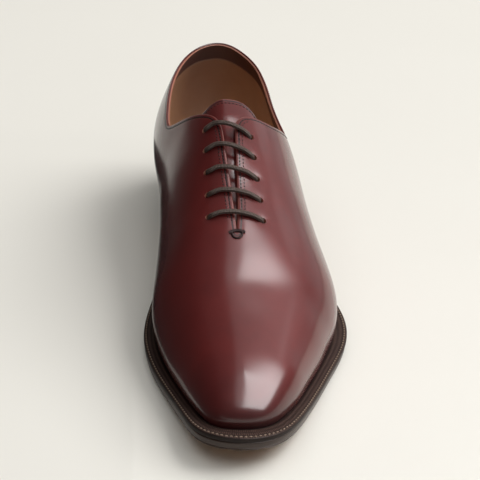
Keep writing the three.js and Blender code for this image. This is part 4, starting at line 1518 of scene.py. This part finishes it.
def heel_ring(height, extra):
    """The heel's outline at a height, with the breast hollowed, as one closed ring."""
    drop = 1 - height / HEEL_HEIGHT
    inset = HEEL_INSET + HEEL_TAPER * drop + extra
    ends = {}
    for side in SIDES:
        fine = np.linspace(HEEL_FROM, 0, 1201)
        x, s = outline(fine, side, rim_offset(fine, side) - inset)
        first = int(np.argmax(s < HEEL_BREAST - extra))
        kept = np.stack([x[first:], s[first:]], -1)
        run = run_along(kept)
        where = np.linspace(0, run[-1], HEEL_STEPS)
        ends[side] = np.stack([np.interp(where, run, column) for column in kept.T], -1)
    lateral, medial = ends[LATERAL], ends[MEDIAL][::-1]
    share = np.linspace(0, 1, BREAST_STEPS)[1:-1, None]
    front = medial[-1] * (1 - share) + lateral[0] * share
    front[:, 1:] -= BREAST_HOLLOW * np.sin(np.pi * share)
    return np.concatenate([lateral, medial[1:], front])


# %% Lifts and top piece
def cut_heel_piece(name, low_z, high_z, finish, under):
    """high_z of None means that the lift reaches up to the sole."""
    cut = Cut(name)
    rows = []
    top = HEEL_HEIGHT if high_z is None else high_z
    for share, extra in LIFT_EDGE:
        ring = heel_ring(low_z + (top - low_z) * share, extra)
        ceiling = tread(ring[:, 1]) - GAP if high_z is None else np.full(len(ring), high_z)
        rows.append(np.column_stack([ring, low_z + (ceiling - low_z) * share]))
    cut.net(np.stack(rows), ring=True)
    for row, height in ((rows[0], low_z), (rows[-1], high_z)):
        middle = row.mean(0)
        inner = row * 0.4 + middle * 0.6
        if height is None:
            inner[:, 2] = tread(inner[:, 1]) - GAP
            middle[2] = tread(middle[1]) - GAP
        cut.net(np.stack([row, inner]), 1, ring=True)
        cut.fan(inner, middle, 1)
    return cut.sew(finish, under, merge=0.005)


LIFTS = 3
for number in range(LIFTS):
    bottom = TOP_PIECE + number * LIFT
    top = None if number == LIFTS - 1 else bottom + LIFT
    name = f"heel_lift_{number + 1}"
    lift = cut_heel_piece(name + "_leather", bottom, top, heel_edge, tread_leather)
    hand_over(lift, "heel_leather", name)
top_piece = cut_heel_piece("top_piece", 0.0, TOP_PIECE, rubber, rubber)
hand_over(top_piece, "top_piece_rubber", "heel_top_piece")

# %% [markdown]
# ## The insole
# What the foot stands on: a full-length sock of tan leather with a turned edge. It follows the
# sole's curve and dips a little under the heel and the ball.

# %% The insole's net
INSOLE_EDGE = [
    # inset from the wall, height over the insole's underside
    (0.6, 0.0), (0.1, 0.25), (0.0, 1.4), (0.12, 2.5), (0.5, 2.9), (1.2, 3.0),
]
INSOLE_DIPS = [
    # middle along the shoe, half length, depth: under the heel and under the ball
    (45, 28, 0.7), (205, 30, 0.5),
]
INSOLE_STEPS = 260
INSOLE_ACROSS = 40


def cut_insole():
    cut = Cut("insole_sock")
    half = np.linspace(TOE, 0, INSOLE_STEPS)
    rows = {}
    base = WALL + GAP
    for side in SIDES:
        columns = []
        for inset, rise in INSOLE_EDGE:
            x, s = outline(half, side, -(WALL + CURVED_GAP) - inset)
            columns.append(np.stack([x, s, seat(s) + base + rise], -1))
        rows[side] = columns
        cut.net(np.stack(columns, 1), 0)
    under, top = [spread(rows[LATERAL][level], rows[MEDIAL][level], INSOLE_ACROSS,
                         lambda s, rise=rise: seat(s) + base + rise)
                  for level, rise in ((0, 0.0), (-1, INSOLE_THICKNESS))]
    bowl = np.sin(np.pi * np.linspace(0, 1, INSOLE_ACROSS))
    for sizes in INSOLE_DIPS:
        top[..., 2] -= bowl * hollow(top[..., 1], *sizes)
    cut.net(under, 0)
    cut.net(top, 0)
    return cut.sew(insole_leather, merge=0.01)


insole = cut_insole()
hand_over(insole, "insole_leather", "insole")

# %% [markdown]
# ## Floor, light and camera
# The shoe stands on a pale floor. Two large lights far away, the wash and the sky, light it and
# throw its shadow, but reflections don't see them. What shines on the polish comes from near
# panels that only reflections see: the gleam and its halo over the outer side, and two glows
# behind. A dark card on the inner side, also seen only by reflections, keeps that side deep. The
# camera has the height, the distance and the angle of the photograph, and is rolled a little.

# %% The floor
def make_floor_finish():
    r = Recipe("pale_floor")
    cloudy = r.noise(300, 3)
    colour = r.mix((0.79, 0.765, 0.70), (0.83, 0.805, 0.74), cloudy)
    return r.surface(Base_Color=colour, Roughness=0.8, Normal=r.bump(r.noise(0.8), 0.02))


FLOOR = 8.0
floor_mesh = bpy.data.meshes.new("floor")
corners = [(x * FLOOR, y * FLOOR, 0) for x, y in ((-1, -1), (1, -1), (1, 1), (-1, 1))]
floor_mesh.from_pydata(corners, [], [(0, 1, 2, 3)])
floor = put("floor", floor_mesh, make_floor_finish())
print("floor, m:", 2 * FLOOR)

# %% The dark card
# The card stands for the shade on the inner side: a dark sheet on the floor and a dark wall beside the
# shoe, seen only in reflections.
CARD_PROFILE = [(-0.06, 0.001), (-0.16, 0.001), (-0.2, 0.3)]
CARD_ENDS = (-0.3, 0.2)


def stand_card():
    """Only reflections see it: it throws no shadow and the camera looks through it."""
    r = Recipe("dark_card")
    finish = r.surface(Base_Color=r.mix((0.004, 0.004, 0.004), (0.008, 0.008, 0.008), r.noise(20)),
                       Roughness=0.9)
    corners = [(x, y, z) for x, z in CARD_PROFILE for y in CARD_ENDS]
    mesh = bpy.data.meshes.new("card")
    mesh.from_pydata(corners, [], [(0, 1, 3, 2), (2, 3, 5, 4)])
    card = put("card", mesh, finish)
    card.visible_camera = card.visible_diffuse = card.visible_shadow = False
    return card


print("card:", stand_card().name)

# %% Lights
def panel(name, front, back, top, power):
    """A lit rectangle from two lower corners and the upper one over the second."""
    front, back, top = Vector(front), Vector(back), Vector(top)
    wide, tall = back - front, top - back
    light = bpy.data.lights.new(name, "AREA")
    light.shape, light.size, light.size_y = "RECTANGLE", wide.length, tall.length
    light.energy = power
    holder = put(name, light)
    holder.location = (front + top) / 2
    holder.rotation_mode = "QUATERNION"
    axes = (wide.normalized(), tall.normalized(), wide.cross(tall).normalized())
    holder.rotation_quaternion = Matrix(axes).transposed().to_quaternion()
    holder.visible_camera = False
    return holder


wash = panel("wash", (4.99, -0.53, 2.52), (4.06, 2.95, 2.52), (1.48, 2.26, 4.93), 215)
sky = panel("sky", (3.0, -3.0, 4.0), (3.0, 3.0, 4.0), (-3.0, 3.0, 4.0), 108)
wash.visible_glossy = sky.visible_glossy = False
gleam = panel("gleam", (0.5, -0.6, 0.306), (0.5, 0.02, 0.306), (0.05, 0.02, 0.43), 7.2)
halo = panel("halo", (0.56, -0.645, 0.3), (0.56, 0.035, 0.3), (-0.06, 0.035, 0.47), 1.7)
glow = panel("back_glow", (2.0, 1.6, 0.9), (-0.1, 1.6, 0.9), (-0.1, 0.3, 2.4), 7)
side_glow = panel("side_glow", (1.5, 0.55, 0.1), (1.1, 1.6, 0.1), (0.9, 1.52, 1.2), 2.2)
for light in (gleam, halo, glow, side_glow):
    light.visible_diffuse = False
ROOM_COLOUR = (1.0, 0.985, 0.96, 1)
ROOM_STRENGTH = 0.1
world = bpy.data.worlds.new("pale_room")
world.use_nodes = True
background = world.node_tree.nodes["Background"]
background.inputs[0].default_value = ROOM_COLOUR
background.inputs[1].default_value = ROOM_STRENGTH
bpy.context.scene.world = world
bpy.context.scene.view_settings.view_transform = "Standard"
print("lights:", ", ".join(sorted(light.name for light in bpy.data.lights)))

# %% Camera
CAMERA_PLACE = Vector((-0.0723, -0.5858, 0.3718))
CAMERA_TARGET = Vector((-0.0005, -0.001, 0.0335))
CAMERA_ROLL = 3.6
CAMERA_LENS = 94.0
SENSOR = 36.0
eye = bpy.data.cameras.new("camera")
eye.lens, eye.sensor_width = CAMERA_LENS, SENSOR
camera = put("camera", eye)
camera.location = CAMERA_PLACE
camera.rotation_mode = "QUATERNION"
look = (CAMERA_TARGET - CAMERA_PLACE).to_track_quat("-Z", "Y")
roll = Quaternion((0, 0, 1), math.radians(CAMERA_ROLL))
camera.rotation_quaternion = look @ roll
bpy.context.scene.camera = camera
print("camera to shoe, mm:", round((CAMERA_TARGET - CAMERA_PLACE).length / MM))
